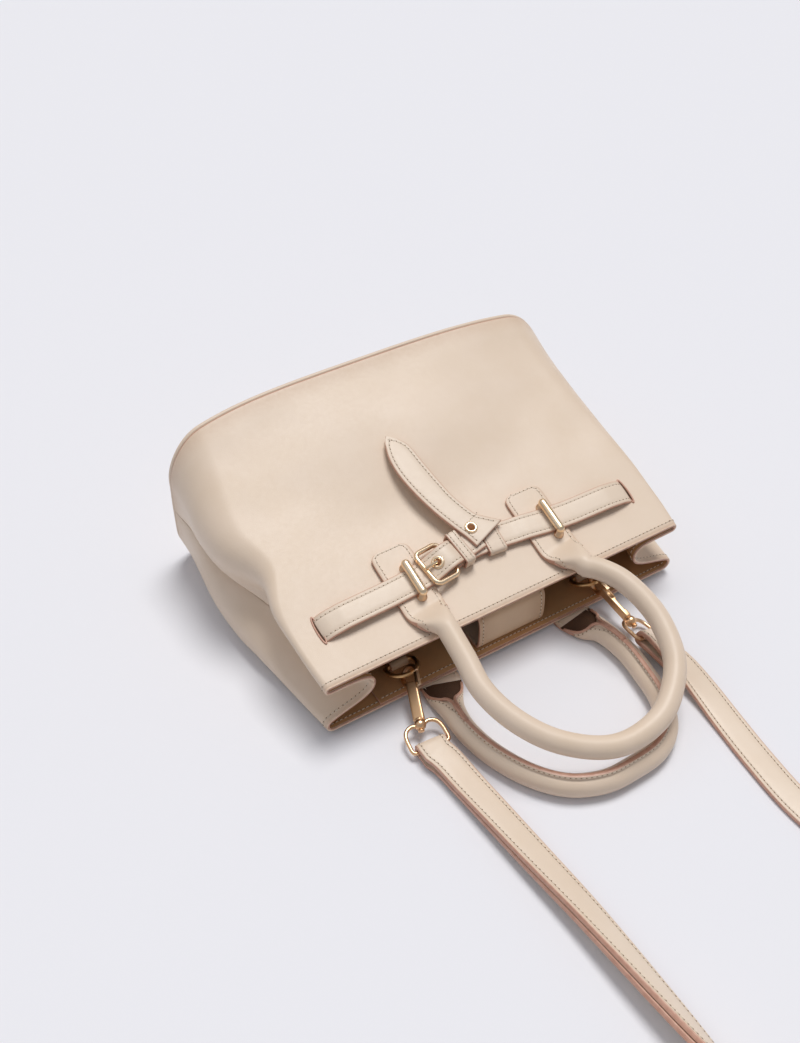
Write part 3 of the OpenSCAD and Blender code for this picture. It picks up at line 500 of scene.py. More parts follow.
def stitch_tree():
    """Geometry nodes for a saddle stitch: threads and needle holes along every line of a mesh."""
    tree = bpy.data.node_groups.new("saddle_stitch", "GeometryNodeTree")
    face = tree.interface
    face.new_socket("Geometry", in_out="INPUT", socket_type="NodeSocketGeometry")
    for label, value in SEWING:
        kind = "NodeSocketFloat" if isinstance(value, float) else "NodeSocketMaterial"
        face.new_socket(label, in_out="INPUT", socket_type=kind)
    face.new_socket("Geometry", in_out="OUTPUT", socket_type="NodeSocketGeometry")

    def add(kind, settings=None, inputs=None):
        n = tree.nodes.new(kind)
        for key, value in (settings or {}).items():
            setattr(n, key, value)
        for key, value in (inputs or {}).items():
            if isinstance(value, bpy.types.NodeSocket):
                tree.links.new(value, n.inputs[key])
            else:
                n.inputs[key].default_value = value
        return n

    given = add("NodeGroupInput").outputs
    line = add("GeometryNodeMeshToCurve", inputs={"Mesh": given["Geometry"]})
    spaced = add("GeometryNodeResampleCurve", {"mode": "LENGTH"},
                 {"Curve": line.outputs[0], "Length": given["Pitch"]})
    tangent = add("GeometryNodeInputTangent").outputs[0]
    up = add("GeometryNodeInputNamedAttribute", {"data_type": "FLOAT_VECTOR"}, {"Name": "up"}).outputs[0]
    along = add("FunctionNodeAlignRotationToVector", {"axis": "X"}, {"Vector": tangent}).outputs[0]
    facing = add("FunctionNodeAlignRotationToVector", {"axis": "Z", "pivot_axis": "X"},
                 {"Rotation": along, "Vector": up}).outputs[0]
    slant = add("FunctionNodeAxisAngleToRotation",
                inputs={"Axis": (0, 0, 1), "Angle": given["Slant"]}).outputs[0]
    turned_by = add("FunctionNodeRotateRotation", {"rotation_space": "LOCAL"},
                    {"Rotation": facing, "Rotate By": slant}).outputs[0]
    halves = {}
    for part, length, width in (("Thread", "Stitch length", "Thread width"),
                                ("Hole", "Hole width", "Hole width")):
        ball = add("GeometryNodeMeshUVSphere", inputs={"Segments": 6, "Rings": 4, "Radius": 0.5}).outputs[0]
        shift, deep = (0, 0, 0), given[width]
        if part == "Hole":
            half = add("ShaderNodeMath", {"operation": "MULTIPLY"}, {0: given["Pitch"], 1: 0.5}).outputs[0]
            shift = add("ShaderNodeCombineXYZ", inputs={"X": half}).outputs[0]
            deep = add("ShaderNodeMath", {"operation": "MULTIPLY"}, {0: given[width], 1: 0.45}).outputs[0]
        size = add("ShaderNodeCombineXYZ",
                   inputs={"X": given[length], "Y": given[width], "Z": deep}).outputs[0]
        shaped = add("GeometryNodeTransform", inputs={"Geometry": ball, "Translation": shift, "Scale": size})
        rounded = add("GeometryNodeSetShadeSmooth", inputs={"Geometry": shaped.outputs[0]})
        placed = add("GeometryNodeInstanceOnPoints", inputs={
            "Points": spaced.outputs[0], "Instance": rounded.outputs[0], "Rotation": turned_by})
        real = add("GeometryNodeRealizeInstances", inputs={"Geometry": placed.outputs[0]})
        halves[part] = add("GeometryNodeSetMaterial",
                           inputs={"Geometry": real.outputs[0], "Material": given[part]}).outputs[0]
    joined = add("GeometryNodeJoinGeometry", inputs={"Geometry": halves["Thread"]})
    tree.links.new(halves["Hole"], joined.inputs[0])
    add("NodeGroupOutput", inputs={"Geometry": joined.outputs[0]})
    return tree


def sew_all():
    tree = stitch_tree()
    sockets = {item.name: item.identifier for item in tree.interface.items_tree if item.in_out == "INPUT"}
    for body, rows in stitch_rows.items():
        points, edges, ups = [], [], []
        for line, normals in rows:
            start = len(points)
            points += list(place(line))
            ups += [unit(u) for u in normals]
            edges += [(start + k, start + k + 1) for k in range(len(line) - 1)]
        label_of = body if isinstance(body, str) else body[1] + "_ends"
        mesh = bpy.data.meshes.new("rows_of_" + label_of)
        mesh.from_pydata([tuple(p) for p in points], edges, [])
        up = mesh.attributes.new("up", "FLOAT_VECTOR", "POINT")
        up.data.foreach_set("vector", np.array(ups, np.float32).ravel())
        holder = bpy.data.objects.new("rows_of_" + label_of, mesh)
        bpy.context.scene.collection.objects.link(holder)
        sewing = holder.modifiers.new("sewing", "NODES")
        sewing.node_group = tree
        for label, value in SEWING:
            sewing[sockets[label]] = value
        graph = bpy.context.evaluated_depsgraph_get()
        plain = bpy.data.meshes.new_from_object(holder.evaluated_get(graph), preserve_all_data_layers=False,
                                                depsgraph=graph)
        bpy.data.objects.remove(holder)
        piece = bpy.data.objects.new("stitches_" + label_of, plain)
        bpy.context.scene.collection.objects.link(piece)
        if isinstance(body, str):
            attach(piece, body)
        else:
            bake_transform(piece)


# The shoulder strap, with the metal that holds its ends
RING_X, RING_Y, RING_LIFT = (-62, 64), 17, (13, 14)
TAB_Z = BACK_Z + LEATHER_T + GAP + FACING_T + GAP
RING_SLEEVE = RING_R + GAP + 1.3
RING_Z = TAB_Z + RING_SLEEVE
RING_C = RING_W / 2 - RING_R
CLASP_TURN, CLASP_FALL, CLASP_ROLL = (159, 184), (10, 9), (230, 270)
SEAT = (EYE_R - RING_R - 4.5 * GAP, EYE_R - RING_R - 3 * GAP)
EYE_C = EYE_R + CLASP_R
RING_NECK = 4
BOSS_R = 3.2
BOSS_Y = EYE_C + SHANK_L + BOSS_R
LOOP_TURN, LOOP_ROLL = (176, 188), (0, -30)
TURN_R = LOOP_R + GAP + STRAP_T
BAR_SPLIT = LOOP_R + GAP + STRAP_T / 2
PAIR_SPLIT = (STRAP_T + GAP) / 2


def ring_tilt(i):
    return math.asin((RING_LIFT[i] - RING_Z) / (RING_NECK + RING_C))


def apex(i):
    """Far point of a ring, where its clasp pulls."""
    return np.array([RING_X[i], RING_Y - (RING_NECK + RING_C) * math.cos(ring_tilt(i)), RING_LIFT[i]])


def way_down(turn, fall):
    """Direction that is turned from the bag's depth and falls below the level, both in degrees."""
    t, f = math.radians(turn), math.radians(fall)
    return np.array([-math.sin(t) * math.cos(f), math.cos(t) * math.cos(f), -math.sin(f)])


def down_clasp(i, d):
    return apex(i) + (d + SEAT[i]) * way_down(CLASP_TURN[i], CLASP_FALL[i])


def bar_z(i):
    r = math.radians(LOOP_ROLL[i])
    return STRAP_W / 2 * abs(math.sin(r)) + TURN_R * math.cos(r) + 0.2


def loop_fall(i):
    return math.degrees(math.asin((down_clasp(i, BOSS_Y)[2] - bar_z(i)) / LOOP_L))


def loop_way(i):
    return way_down(LOOP_TURN[i], loop_fall(i))


def loop_axes(i):
    return turned("Z", LOOP_TURN[i]) @ turned("X", -loop_fall(i)) @ turned("Y", LOOP_ROLL[i])


def bar_at(i):
    return down_clasp(i, BOSS_Y) + LOOP_L * loop_way(i)


def strap_end(i):
    return bar_at(i) + (TURN_R + 0.2) * loop_way(i)


# Stations of the strap: across, along, roll in degrees, and how far its middle lies off the line it follows
COIL, COIL_R, SLIDER_Y = (38, -350), 95, -300
STRAP_ROUTE = ([[*strap_end(0)[:2], 0, BAR_SPLIT], [-72, -50, -3, mix(PAIR_SPLIT, BAR_SPLIT, 0.5)]]
               + [[x, y, roll, PAIR_SPLIT] for x, y, roll in (
                   (-70.5, -66, -7), (-68.5, -90, -12), (-66, -120, -18), (-63, -155, -27),
                   (-61, -190, -38), (-59, -228, -52), (-57.5, -262, -75), (-57, -285, -90),
                   (-57, SLIDER_Y, -90), (-57, -315, -90))]
               + [[-57, COIL[1], -90, 0]]
               + [[COIL[0] + COIL_R * math.cos(a), COIL[1] + COIL_R * math.sin(a), -90, 0]
                  for a in (math.radians(d) for d in range(205, 356, 25))]
               + [[131, -320, -80, 0], [120, -285, -64, 0], [101, -255, -42, 0], [84, -225, -24, 0],
                  [71.5, -195, -10, 0], [67, -162, -2, 0], [68.5, -130, 0, 0], [71, -105, 1, 0],
                  [73, -82, 6, 0.5], [72.2, -64, 14, PAIR_SPLIT + GAP], [*strap_end(1)[:2], 30, BAR_SPLIT]])


def slider_lift(y):
    return 2 * (1 - smooth((abs(y - SLIDER_Y) - 8) / 30))


def strap_frame(q, h, layer):
    """Centre, across and above for a layer of the strap at one point of its route."""
    d = unit([h[0], h[1], 0])
    s, up = np.array([-d[1], d[0], 0]), np.array([0, 0, 1.0])
    r = math.radians(q[2])
    side, face = s * math.cos(r) + up * math.sin(r), up * math.cos(r) - s * math.sin(r)
    z = (STRAP_W / 2 * abs(math.sin(r)) + (q[3] + STRAP_T / 2) * abs(math.cos(r)) + 0.2
         + (slider_lift(q[1]) if q[0] < 0 else 0))
    return np.array([q[0], q[1], z]) + face * q[3] * layer, side, face


STRAP_FINE = 6
strap_curve = spline(STRAP_ROUTE, STRAP_FINE)
strap_last = len(strap_curve) - 1


def strap_station(k, layer):
    """Middle, across and face directions of a layer of the strap at a point of its curve."""
    return strap_frame(strap_curve[k], heading(strap_curve, k), layer)


def bar_wrap(i, degrees):
    """Middle, across and outward directions of the strap round the far bar of its loop; 90 is above the bar
    and 180 on the clasp's side."""
    side, out_way, up_way = loop_axes(i).T
    k = 0 if i == 0 else strap_last
    if np.dot(side, strap_station(k, 1)[1]) < 0:
        side = -side
    arms = [up_way * math.sin(math.radians(d)) + out_way * math.cos(math.radians(d)) for d in degrees]
    return [(bar_at(i) + arm * BAR_SPLIT, side, arm) for arm in arms]


def strap_piece(name, line, stands_for, crown, rounded, thread_lift):
    """One layer of the strap through its stations, with a row of stitches near each edge; returns its middle
    line too."""
    mids, sides, faces = ([q[k] for q in line] for k in range(3))
    section = flat_section(STRAP_W, STRAP_T - STRAP_PLAY, soft=0.7, crown=crown, groove=STRAP_SEAM)
    base = [m - f * STRAP_T / 2 for m, f in zip(mids, faces)]
    piece = sweep(name, base, sides, faces, section, [TABS, EDGE], "bag_body", stands_for, rounded)
    sewn_at, lift = STRAP_W / 2 - STRAP_SEAM, STRAP_T / 2 + thread_lift
    for edge in (-1, 1):
        stitch("bag_body", [m + s * edge * sewn_at + f * lift for m, s, f in line], faces)
    return piece, mids


STRAP_PLAY, STRAP_SEAM = 0.1, 2.3
OVER_BAR, UNDER_BAR = (88, 104, 120, 136, 152, 168, 184, 198), range(202, 271, 12)
top_stations = (bar_wrap(0, OVER_BAR)[::-1] + [strap_station(k, 1) for k in range(strap_last + 1)]
                + bar_wrap(1, OVER_BAR))
top_strap, top_mids = strap_piece("shoulder_strap_leather", top_stations, ["shoulder_strap"], 0.25, 0.5, 0.02)


def strap_turn(i, name, stands_for, last):
    """The strap's end, folded round the bar of its loop and laid back under the strap as far as a station."""
    under = range(0, last + 1) if i == 0 else range(strap_last, last - 1, -1)
    back = [(m, s, -f) for m, s, f in (strap_station(k, -1) for k in under)]
    return strap_piece(name, bar_wrap(i, UNDER_BAR) + back, stands_for, 0.1, 0.4, -0.05)[0]


left_under = strap_turn(0, "strap_return_leather", ["strap_return"], 11 * STRAP_FINE)
right_under = strap_turn(1, "strap_end_right_leather", ["strap_end_right"], strap_last - STRAP_FINE)


def polyline_length(points):
    p = place(points)
    return float(np.linalg.norm(np.diff(p, axis=0), axis=1).sum())


place([top_mids[0]])[0]
round(polyline_length(top_mids), 3)
place(top_mids[::3] + [top_mids[-1]])


# The leather body
def front_z(v):
    return mix(MOUTH_D, BASE_D, v)


def along(v, values):
    """Smooth value at a share of the height, from values at even steps of it."""
    n = len(values) - 1
    i = min(int(clamp(v) * n), n - 1)
    a, b, c, d = (values[k] for k in (max(i - 1, 0), i, i + 1, min(i + 2, n)))
    return through(a, b, c, d, clamp(v) * n - i)


# At every tenth of the height from the mouth to the base, for the folded sides of the body: where the seam
# lies and how the flap leaves it, then for the front and for the back the edge, its radius and how far the
# leather turns there, and last how far each side lies inside that outline
SEAM_X = (87.5, 92, 97, 102, 107, 111.5, 116.5, 121, 124.5, 127, 129)
SEAM_Z = (27.5, 27, 27.5, 28.5, 29.5, 31, 33.5, 36, 38.5, 40.5, 42)
SEAM_LEAN = (0, 0, 0.1, 0.35, 0.6, 0.8, 0.9, 0.9, 0.8, 0.5, 0)
FRONT_X = (115.8, 117.4, 118.6, 119.8, 121.6, 124.2, 126.8, 128.6, 129.4, 129.2, 128.6)
FRONT_R = (2.9, 2.9, 3.2, 4.4, 7, 11, 15, 18.5, 21.5, 23.5, 24)
FRONT_TURN = (177, 163, 148, 135, 123, 112, 104, 98, 94, 91, 90)
BACK_X = (116.3, 118.6, 121, 123.6, 126.4, 128.6, 130.2, 130.8, 130.4, 129.6, 129)
BACK_R = (5, 5.2, 6, 7.5, 9.5, 12, 15, 18, 21, 23, 24)
BACK_TURN = (155, 148, 140, 132, 124, 116, 108, 101, 95, 91, 90)
RIGHT_IN = (0, 0.5, 1.9, 2.8, 3.6, 4.6, 5.8, 6.9, 6.6, 4.4, 2.2)
LEFT_IN = (0, 0, 0, 0, 0, 0, 0, 0.5, 1.4, 2, 1.6)
TUCK = (0.42, 0.3)
SOFT_FROM = 0.42
PINCH, PINCH_AT, PINCH_REACH, PINCH_FROM, PINCH_FADE, PINCH_RISE = 8.5, 0.46, 0.11, 88, 24, 9
SETTLE = 1.5
PANEL_SHARES = (0.97, 0.93, 0.88, 0.82, 0.75, 0.66, 0.57, 0.47, 0.37, 0.27, 0.18, 0.09, 0)


def seam_point(v):
    return np.array([along(v, SEAM_X), along(v, SEAM_Z)])


def back_rise(v):
    return BACK_Z * (1 - smooth((v - 0.38) / 0.14))


def swell(v, x, e):
    """Share of the base's swell at a place on the body, fuller on the left."""
    soft = clamp((v - SOFT_FROM) / (1 - SOFT_FROM))
    return soft ** 2 * (1 - min(1, abs(x) / HALF_BASE) ** e) * (1 - LEAN * x / HALF_BASE)


def bow(v, x):
    return BASE_BOW * swell(v, x, 3)


def bulge(v, x):
    soft = clamp((v - SOFT_FROM) / (1 - SOFT_FROM))
    return (CROWN * math.sin(math.pi * soft) ** 2 * (1 - min(1, x / HALF_TOP) ** 2) ** 2
            + BASE_SWELL * swell(v, x, 4))


def body_outline(v, side):
    """Outer line of the front (side 1) or the back (side -1) at share v of the height, from seam to seam: the
    flap that tucks in from the rolled seam, the corner it turns at, and the flat panel."""
    x, r, turn = ((along(v, t) for t in (FRONT_X, FRONT_R, FRONT_TURN)) if side > 0
                  else (along(v, t) for t in (BACK_X, BACK_R, BACK_TURN)))
    level = front_z(v) if side > 0 else back_rise(v)
    seam = seam_point(v) + [0, side * 0.03]
    middle = np.array([x - r, level - side * r])
    arc = [middle + r * np.array([math.sin(a), side * math.cos(a)])
           for a in np.radians(np.linspace(turn, 0, 15))]
    a = math.radians(turn)
    way = np.array([math.cos(a), -side * math.sin(a)])
    reach = np.linalg.norm(arc[0] - seam)
    lean = along(v, SEAM_LEAN)
    leaves = np.array([lean, side * math.sqrt(max(0.0, 1 - lean * lean))])
    b, c = arc[0] + way * reach * TUCK[0], seam + reach * TUCK[1] * leaves
    tuck = [seam * (1 - t) ** 3 + c * 3 * t * (1 - t) ** 2 + b * 3 * t * t * (1 - t) + arc[0] * t ** 3
            for t in np.linspace(0, 1, 15)[:-1]]
    half = tuck + arc
    half += [np.array([arc[-1][0] * k, level]) for k in PANEL_SHARES]
    line = half + [np.array([-p[0], p[1]]) for p in half[-2::-1]]
    out = []
    for p in line:
        if side > 0:
            p = p + [0, bulge(v, p[0]) * smooth((p[1] - seam[1]) / (front_z(v) - seam[1]))]
            if p[0] < 0:
                near = math.exp(-((v - PINCH_AT) / PINCH_REACH) ** 2)
                near *= smooth((-p[0] - PINCH_FROM) / PINCH_FADE)
                p = p + [PINCH * near * smooth((p[1] - seam[1]) / PINCH_RISE), 0]
        drawn = along(v, RIGHT_IN if p[0] > 0 else LEFT_IN)
        out.append(np.array([p[0] - math.copysign(drawn, p[0]) * (abs(p[0]) / HALF_BASE) ** 3, p[1]]))
    return out


def sag(x, v, side):
    """How far the leather has settled from its stretched shape."""
    wide = noise.noise(Vector((x * 0.016, v * 2.4, side * 3.1)))
    fine = 0.5 * noise.noise(Vector((x * 0.04, v * 5.5, 7.7)))
    return SETTLE * (wide + fine) * smooth(v / 0.35) * (1 - smooth((v - 0.9) / 0.1))


def body_rows(side, steps):
    rows = []
    for y, inset in steps:
        v = clamp(y / BODY_H)
        line = body_outline(v, side)
        n = len(line)
        outer, inner = [], []
        for i, p in enumerate(line):
            normal = side * left_of(heading(line, i))
            settle = sag(p[0], v, side) * smooth(min(i, n - 1 - i) / 4) if side > 0 else 0.0
            o = p + normal * (inset - settle)
            q = p + normal * (LEATHER_T - inset - settle)
            depth = y + bow(v, p[0]) if y > 0 else y
            outer.append([o[0], depth, o[1]])
            inner.append([q[0], depth, q[1]])
        rows.append(outer + inner[::-1])
    return rows


# Height and inset of each row, from the rounded rim of the mouth to the rounded edge at the base
BODY_STEPS = ([(0.0, 0.55), (0.18, 0.2), (0.6, 0.0)] + [(y, 0.0) for y in np.linspace(3, BODY_H - 2.2, 62)]
              + [(BODY_H - 0.7, 0.0), (BODY_H - 0.25, 0.15), (BODY_H, 0.5)])


def body_shell(name, side, stands_for):
    rows = body_rows(side, BODY_STEPS)
    width = len(rows[0])
    points = [p for r in rows for p in r]
    faces = skin_faces(len(rows), width)
    # Finish slots: outer face, cut edge at the base, inner face in painted shade, and the mouth's rim in
    # paler paint that is a painted highlight
    outer, edge, inner, rim = range(4)
    finish = []
    for k in range(len(faces)):
        row = k // width if k < (len(rows) - 1) * width else -1
        if row in (-1, 0, 1):
            finish.append(rim)
        elif row >= len(rows) - 3:
            finish.append(edge)
        else:
            finish.append(outer if (k % width) < width // 2 - 1 else inner)
    wear = []
    for y in (step[0] for step in BODY_STEPS):
        wear += [max(1 - smooth(y / 4.0), smooth((y / BODY_H - 0.93) / 0.07) * 0.7)] * width
    outward(make_piece(name, points, faces, [CREAM, EDGE, INSIDE_PAINTED_SHADE, EDGE_PAINTED_HIGHLIGHT], "bag_body", stands_for, finish,
                       wear))


body_shell("front_leather", 1, ["front_body"])
body_shell("back_leather", -1, ["back_body"])


RIM_BEAD_Y = 0.12


def rim_bead(name, side, depth, radius, finish):
    """Round bead of edge paint along the mouth, so far into the leather."""
    line, sides = body_outline(0, side), 8
    inside = [p + side * left_of(heading(line, i)) * depth for i, p in enumerate(line)]
    path = [np.array([q[0], RIM_BEAD_Y, q[1]]) for q in inside]
    points = tube_points(path, radius, [0, 1, 0], sides, flat=0.8)
    outward(make_piece(name, points, skin_faces(len(path), sides), [finish]))


for side, part in ((1, "front"), (-1, "back")):
    # The outer bead takes the paler paint as a painted highlight; the inner bead takes the plain edge paint
    rim_bead("rim_outer_" + part, side, 0.5, 0.52, EDGE_PAINTED_HIGHLIGHT)
    rim_bead("rim_inner_" + part, side, 1.38, 0.46, EDGE)


def surface_row(side, y, first, last, out=THREAD_OUT):
    """Points and directions on the body's outer face at one height, between two shares of its outline."""
    v = clamp(y / BODY_H)
    line = body_outline(v, side)
    n = len(line)
    points, normals = [], []
    for i in range(int(first * (n - 1)), int(last * (n - 1)) + 1):
        away = -side * left_of(heading(line, i))
        p = line[i] + away * out
        points.append([p[0], y + bow(v, p[0]), p[1]])
        normals.append([away[0], 0, away[1]])
    return points, normals


RIM_SEAM, RIM_SHARES = 3.0, (0.02, 0.98)
for side in (1, -1):
    stitch("bag_body", *surface_row(side, RIM_SEAM, *RIM_SHARES))
    inner_points, inner_normals = surface_row(side, RIM_SEAM, *RIM_SHARES, out=-LEATHER_T - THREAD_OUT)
    stitch("bag_body", inner_points, [[-a, b, -c] for a, b, c in inner_normals])


def base_edge():
    """Middle of the piping round the base, from the middle of the back and round to it again."""
    f, b = ([p + side * PIPING_R * left_of(heading(line, i)) for i, p in enumerate(line)]
            for side, line in ((1, body_outline(1.0, 1)), (-1, body_outline(1.0, -1))))
    half = (len(b) - 1) // 2
    return [b[half] + [0.15, 0]] + b[half - 1:0:-1] + f[1:-1] + b[-2:half:-1] + [b[half] - [0.15, 0]]


def piping():
    path = spline([[p[0], BODY_H + GAP + PIPING_R + bow(1, p[0]), p[1]] for p in base_edge()], 3)
    n = 14
    points = tube_points(path, PIPING_R, [0, 1, 0], n)
    outward(make_piece("base_piping_leather", points, skin_faces(len(path), n), [TABS], "bag_body",
                       ["base_piping"], wear=[0.25] * len(points)))


piping()


BASE_IN = 1.8


def base_leather():
    """The base, a little domed inside its piping."""
    margin = 2 * PIPING_R + 0.2
    w, r = HALF_BASE - margin - BASE_IN, BASE_R - margin
    rows = []
    for k in (math.sin(s * math.pi / 2) for s in np.linspace(-1, 1, 41)):
        x = k * w
        drop = r - math.sqrt(max(0.0, r * r - max(0.0, abs(x) - w + r) ** 2))
        low, high = margin + drop, BASE_D - margin - drop + BASE_SWELL * swell(1, x, 4)
        y = BODY_H + GAP + bow(1, x)
        zs = [mix(low, high, s) for s in np.linspace(0, 1, 15)]
        dome = [0.9 * math.sin(math.pi * s) * math.cos(k * math.pi / 2) for s in np.linspace(0, 1, 15)]
        outside = [[x, y + LEATHER_T + d, z] for z, d in zip(zs[::-1], dome[::-1])]
        rows.append([[x, y, z] for z in zs] + outside)
    points = [p for row in rows for p in row]
    outward(make_piece("base_leather", points, skin_faces(len(rows), len(rows[0])), [CREAM], "bag_body",
                       ["base_panel"], wear=[0.3] * len(points)))


base_leather()


LINING_T = 0.8


def lining_bag():
    """Thin lining, wrinkled where it is slack."""

    def ring(y, m):
        v = y / BODY_H
        w = min(seam_point(v)[0] - 4.5, 114) - m
        low, high = back_rise(v) + LEATHER_T + 1.5 * GAP + m, front_z(v) - LEATHER_T - 2 * GAP - m
        r = mix(4, BASE_R - LEATHER_T, smooth(v))
        out = []
        for cx, cz in ((1, 1), (-1, 1), (-1, -1), (1, -1)):
            for k in range(7):
                a = math.radians((k if cx * cz > 0 else 6 - k) * 15)
                x = cx * (w - r + r * math.cos(a))
                z = (low + high) / 2 + cz * ((high - low) / 2 - r + r * math.sin(a))
                out.append(np.array([x, y, z]))
            if (cx, cz) in ((1, 1), (-1, -1)):
                a, b = out[-1], np.array([-out[-1][0], y, out[-1][2]])
                out += [mix(a, b, s) for s in np.linspace(0, 1, 22)[1:-1]]
        centre = np.array([0, y, (low + high) / 2])
        for i, p in enumerate(out):
            slack = 0.7 + 0.9 * noise.noise(Vector((p[0] * 0.05, y * 0.04, p[2] * 0.05)))
            out[i] = p + unit(centre - p) * max(0.0, slack) * smooth((y - 32) / 20)
        return out

    first, last = FACING_W + 2, BODY_H - 2 - 3 * GAP
    ys = list(np.linspace(first, last, 44))
    inner_ys = [y if y < last else last - LINING_T for y in ys[::-1]]
    rows = [ring(y, 0) for y in ys] + [ring(y, LINING_T) for y in inner_ys]
    width, n = len(rows[0]), len(ys)
    points = [p for r in rows for p in r]
    faces = []
    for i in list(range(n - 1)) + list(range(n, 2 * n - 1)):
        for j in range(width):
            k = (j + 1) % width
            faces.append((i * width + j, i * width + k, (i + 1) * width + k, (i + 1) * width + j))
    for j in range(width):
        k = (j + 1) % width
        faces.append((j, (2 * n - 1) * width + j, (2 * n - 1) * width + k, k))
    faces.append(tuple((n - 1) * width + j for j in range(width)))
    faces.append(tuple(n * width + j for j in reversed(range(width))))
    outward(make_piece("lining_cloth", points, faces, [LINING], "bag_body", ["lining"]))


lining_bag()

# Facing inside the mouth
FACING_HALF = HALF_TOP - FOLD_IN - 3
FACING_TOP = LEATHER_T + GAP
FACING_SEAM, BACK_FACE = 3.2, BACK_Z + LEATHER_T + GAP


def strip(name, route, half, up, thick, finishes, body, stands_for, on=None, centre=0.0, groove=None):
    """Wide strip whose route is given in the plane across it, as (depth, height); returns its lower line and
    the directions above it."""
    line = [np.array([centre, p[0], p[1]]) for p in route]
    across = [np.array([1.0, 0, 0])] * len(line)
    above = []
    for i in range(len(line)):
        d = heading(line, i)
        n = np.array([0, -d[2], d[1]])
        above.append(n if up > 0 else -n)
    section = flat_section(2 * half, thick, soft=0.45, groove=groove)
    sweep(name, line, across, above, section, finishes, body, stands_for, rounded=0.4, on=on)
    return line, above


# The facings take the inside leather, darkened as painted shade
front_line = [(y, -FACING_TOP - FACING_T) for y in np.linspace(0.6, 0.6 + FACING_W, 9)]
strip("front_facing_leather", front_line, FACING_HALF, 1, FACING_T, [INSIDE_PAINTED_SHADE, EDGE], "bag_body",
      ["front_facing"], on=on_front)
back_line = [(y, BACK_FACE) for y in np.linspace(GAP, GAP + FACING_W, 9)]
strip("back_facing_leather", back_line, FACING_HALF, 1, FACING_T, [INSIDE_PAINTED_SHADE, EDGE], "bag_body", ["back_facing"])
seam_xs = np.linspace(-FACING_HALF + 3, FACING_HALF - 3, 40)
stitch("bag_body", [[x, FACING_SEAM, BACK_FACE + FACING_T + THREAD_OUT] for x in seam_xs],
       [[0, 0, 1]] * len(seam_xs))
stitch("bag_body", on_front([[x, FACING_SEAM, -FACING_TOP - FACING_T - THREAD_OUT] for x in seam_xs]),
       [[0, math.sin(SLOPE), -math.cos(SLOPE)]] * len(seam_xs))


# Tab that closes the mouth
def from_front(y, h):
    """Depth and height of a point up the sloping front and off it."""
    return [y * math.cos(SLOPE) - h * math.sin(SLOPE), MOUTH_D + y * math.sin(SLOPE) + h * math.cos(SLOPE)]


TAB_X, TAB_Y, TAB_SEAM = 4, 7, 2.5
TAB_FACE = FACING_TOP + FACING_T + 2 * 1.4 + 3 * GAP
root_line = [(y, TAB_Z) for y in np.linspace(TAB_Y + GAP, FACING_W + GAP, 6)]
strip("tab_root_leather", root_line, TAB_W / 2, 1, TAB_T, [TABS, EDGE], "bag_body", ["tab_root"],
      centre=TAB_X, groove=TAB_SEAM)
tab_points = [(TAB_Y, TAB_Z), (TAB_Y - 2.6, TAB_Z + 1.2), (TAB_Y - 4, TAB_Z + 5),
              (TAB_Y - 4.4, MOUTH_D * 0.45), (TAB_Y - 3.8, MOUTH_D * 0.68), (TAB_Y - 1.6, MOUTH_D * 0.78),
              from_front(9, -TAB_FACE), from_front(22, -TAB_FACE)]
# The closure tab takes the shaded tab leather, its colour darkened as painted shade
tab_line, tab_above = strip("closure_tab_leather", spline(tab_points, 5), TAB_W / 2, -1, TAB_T,
                            [SHADED, EDGE], "closure_part", ["closure_tab"], centre=TAB_X, groove=TAB_SEAM)
for edge in (-1, 1):
    for lift, sign in ((-0.05, -1), (TAB_T + 0.05, 1)):
        stitch("closure_part", [p + np.array([edge * (TAB_W / 2 - TAB_SEAM), 0, 0]) + u * lift
                                for p, u in zip(tab_line, tab_above)], [u * sign for u in tab_above])


# Handles
ROUND_POINTS, FLANGE_HALF, FLANGE_REACH, FLANGE_FOOT = 40, 1.35, 2.1, 14
# Rows of stitches, from the edge of a sewn end and beside the middle of the flange, then half the stretch
# that bends at an end
END_SEAM, SEAM_ASIDE, BEND_HALF = 2.4, 1.38, 9


def flange_ring(seam, grow):
    """Round section with a sewn flange at the seam's angle; the last number marks the painted edge."""
    r, half, reach = HANDLE_R, FLANGE_HALF, FLANGE_REACH * grow
    out = []
    a0 = math.radians(seam)
    away, over = np.array([math.cos(a0), math.sin(a0)]), np.array([-math.sin(a0), math.cos(a0)])
    for a in np.radians(np.linspace(seam + FLANGE_FOOT, seam + 360 - FLANGE_FOOT, ROUND_POINTS)):
        out.append([r * math.cos(a), r * math.sin(a), 0.0])
    root = r * math.cos(math.radians(FLANGE_FOOT))
    side = r * math.sin(math.radians(FLANGE_FOOT))
    for w, h, m in ((-mix(side, half, 0.7), 0.35, 0), (-half, 0.6, 0), (-half, 0.92, 0),
                    (-half * 0.8, 1.0, 1), (-half * 0.3, 1.06, 1), (half * 0.3, 1.06, 1),
                    (half * 0.8, 1.0, 1), (half, 0.92, 1), (half, 0.6, 0), (mix(side, half, 0.7), 0.35, 0)):
        p = away * (root + reach * h) + over * w
        out.append([p[0], p[1], float(m)])
    return out


def handle_frames(route):
    """Middle, side and upward direction at each point of a handle; its ends point straight up the bag."""
    p = [np.array(q[:3], float) for q in route]
    out = []
    for i in range(len(p)):
        h = heading(p, i)
        end = -1 if i == 0 else 1 if i == len(p) - 1 else 0
        d = h if end == 0 else np.array([0.0, end, 0.0])
        s = unit([-d[1], d[0], 0])
        out.append((p[i], s, np.cross(d, s)))
    return out


FRONT_ROOT_X, FRONT_END_X, FRONT_ROOT = (-43, 46.5), (-46, 42), -2
BAR_X, BAR_Y = (-44, 46.5), 33
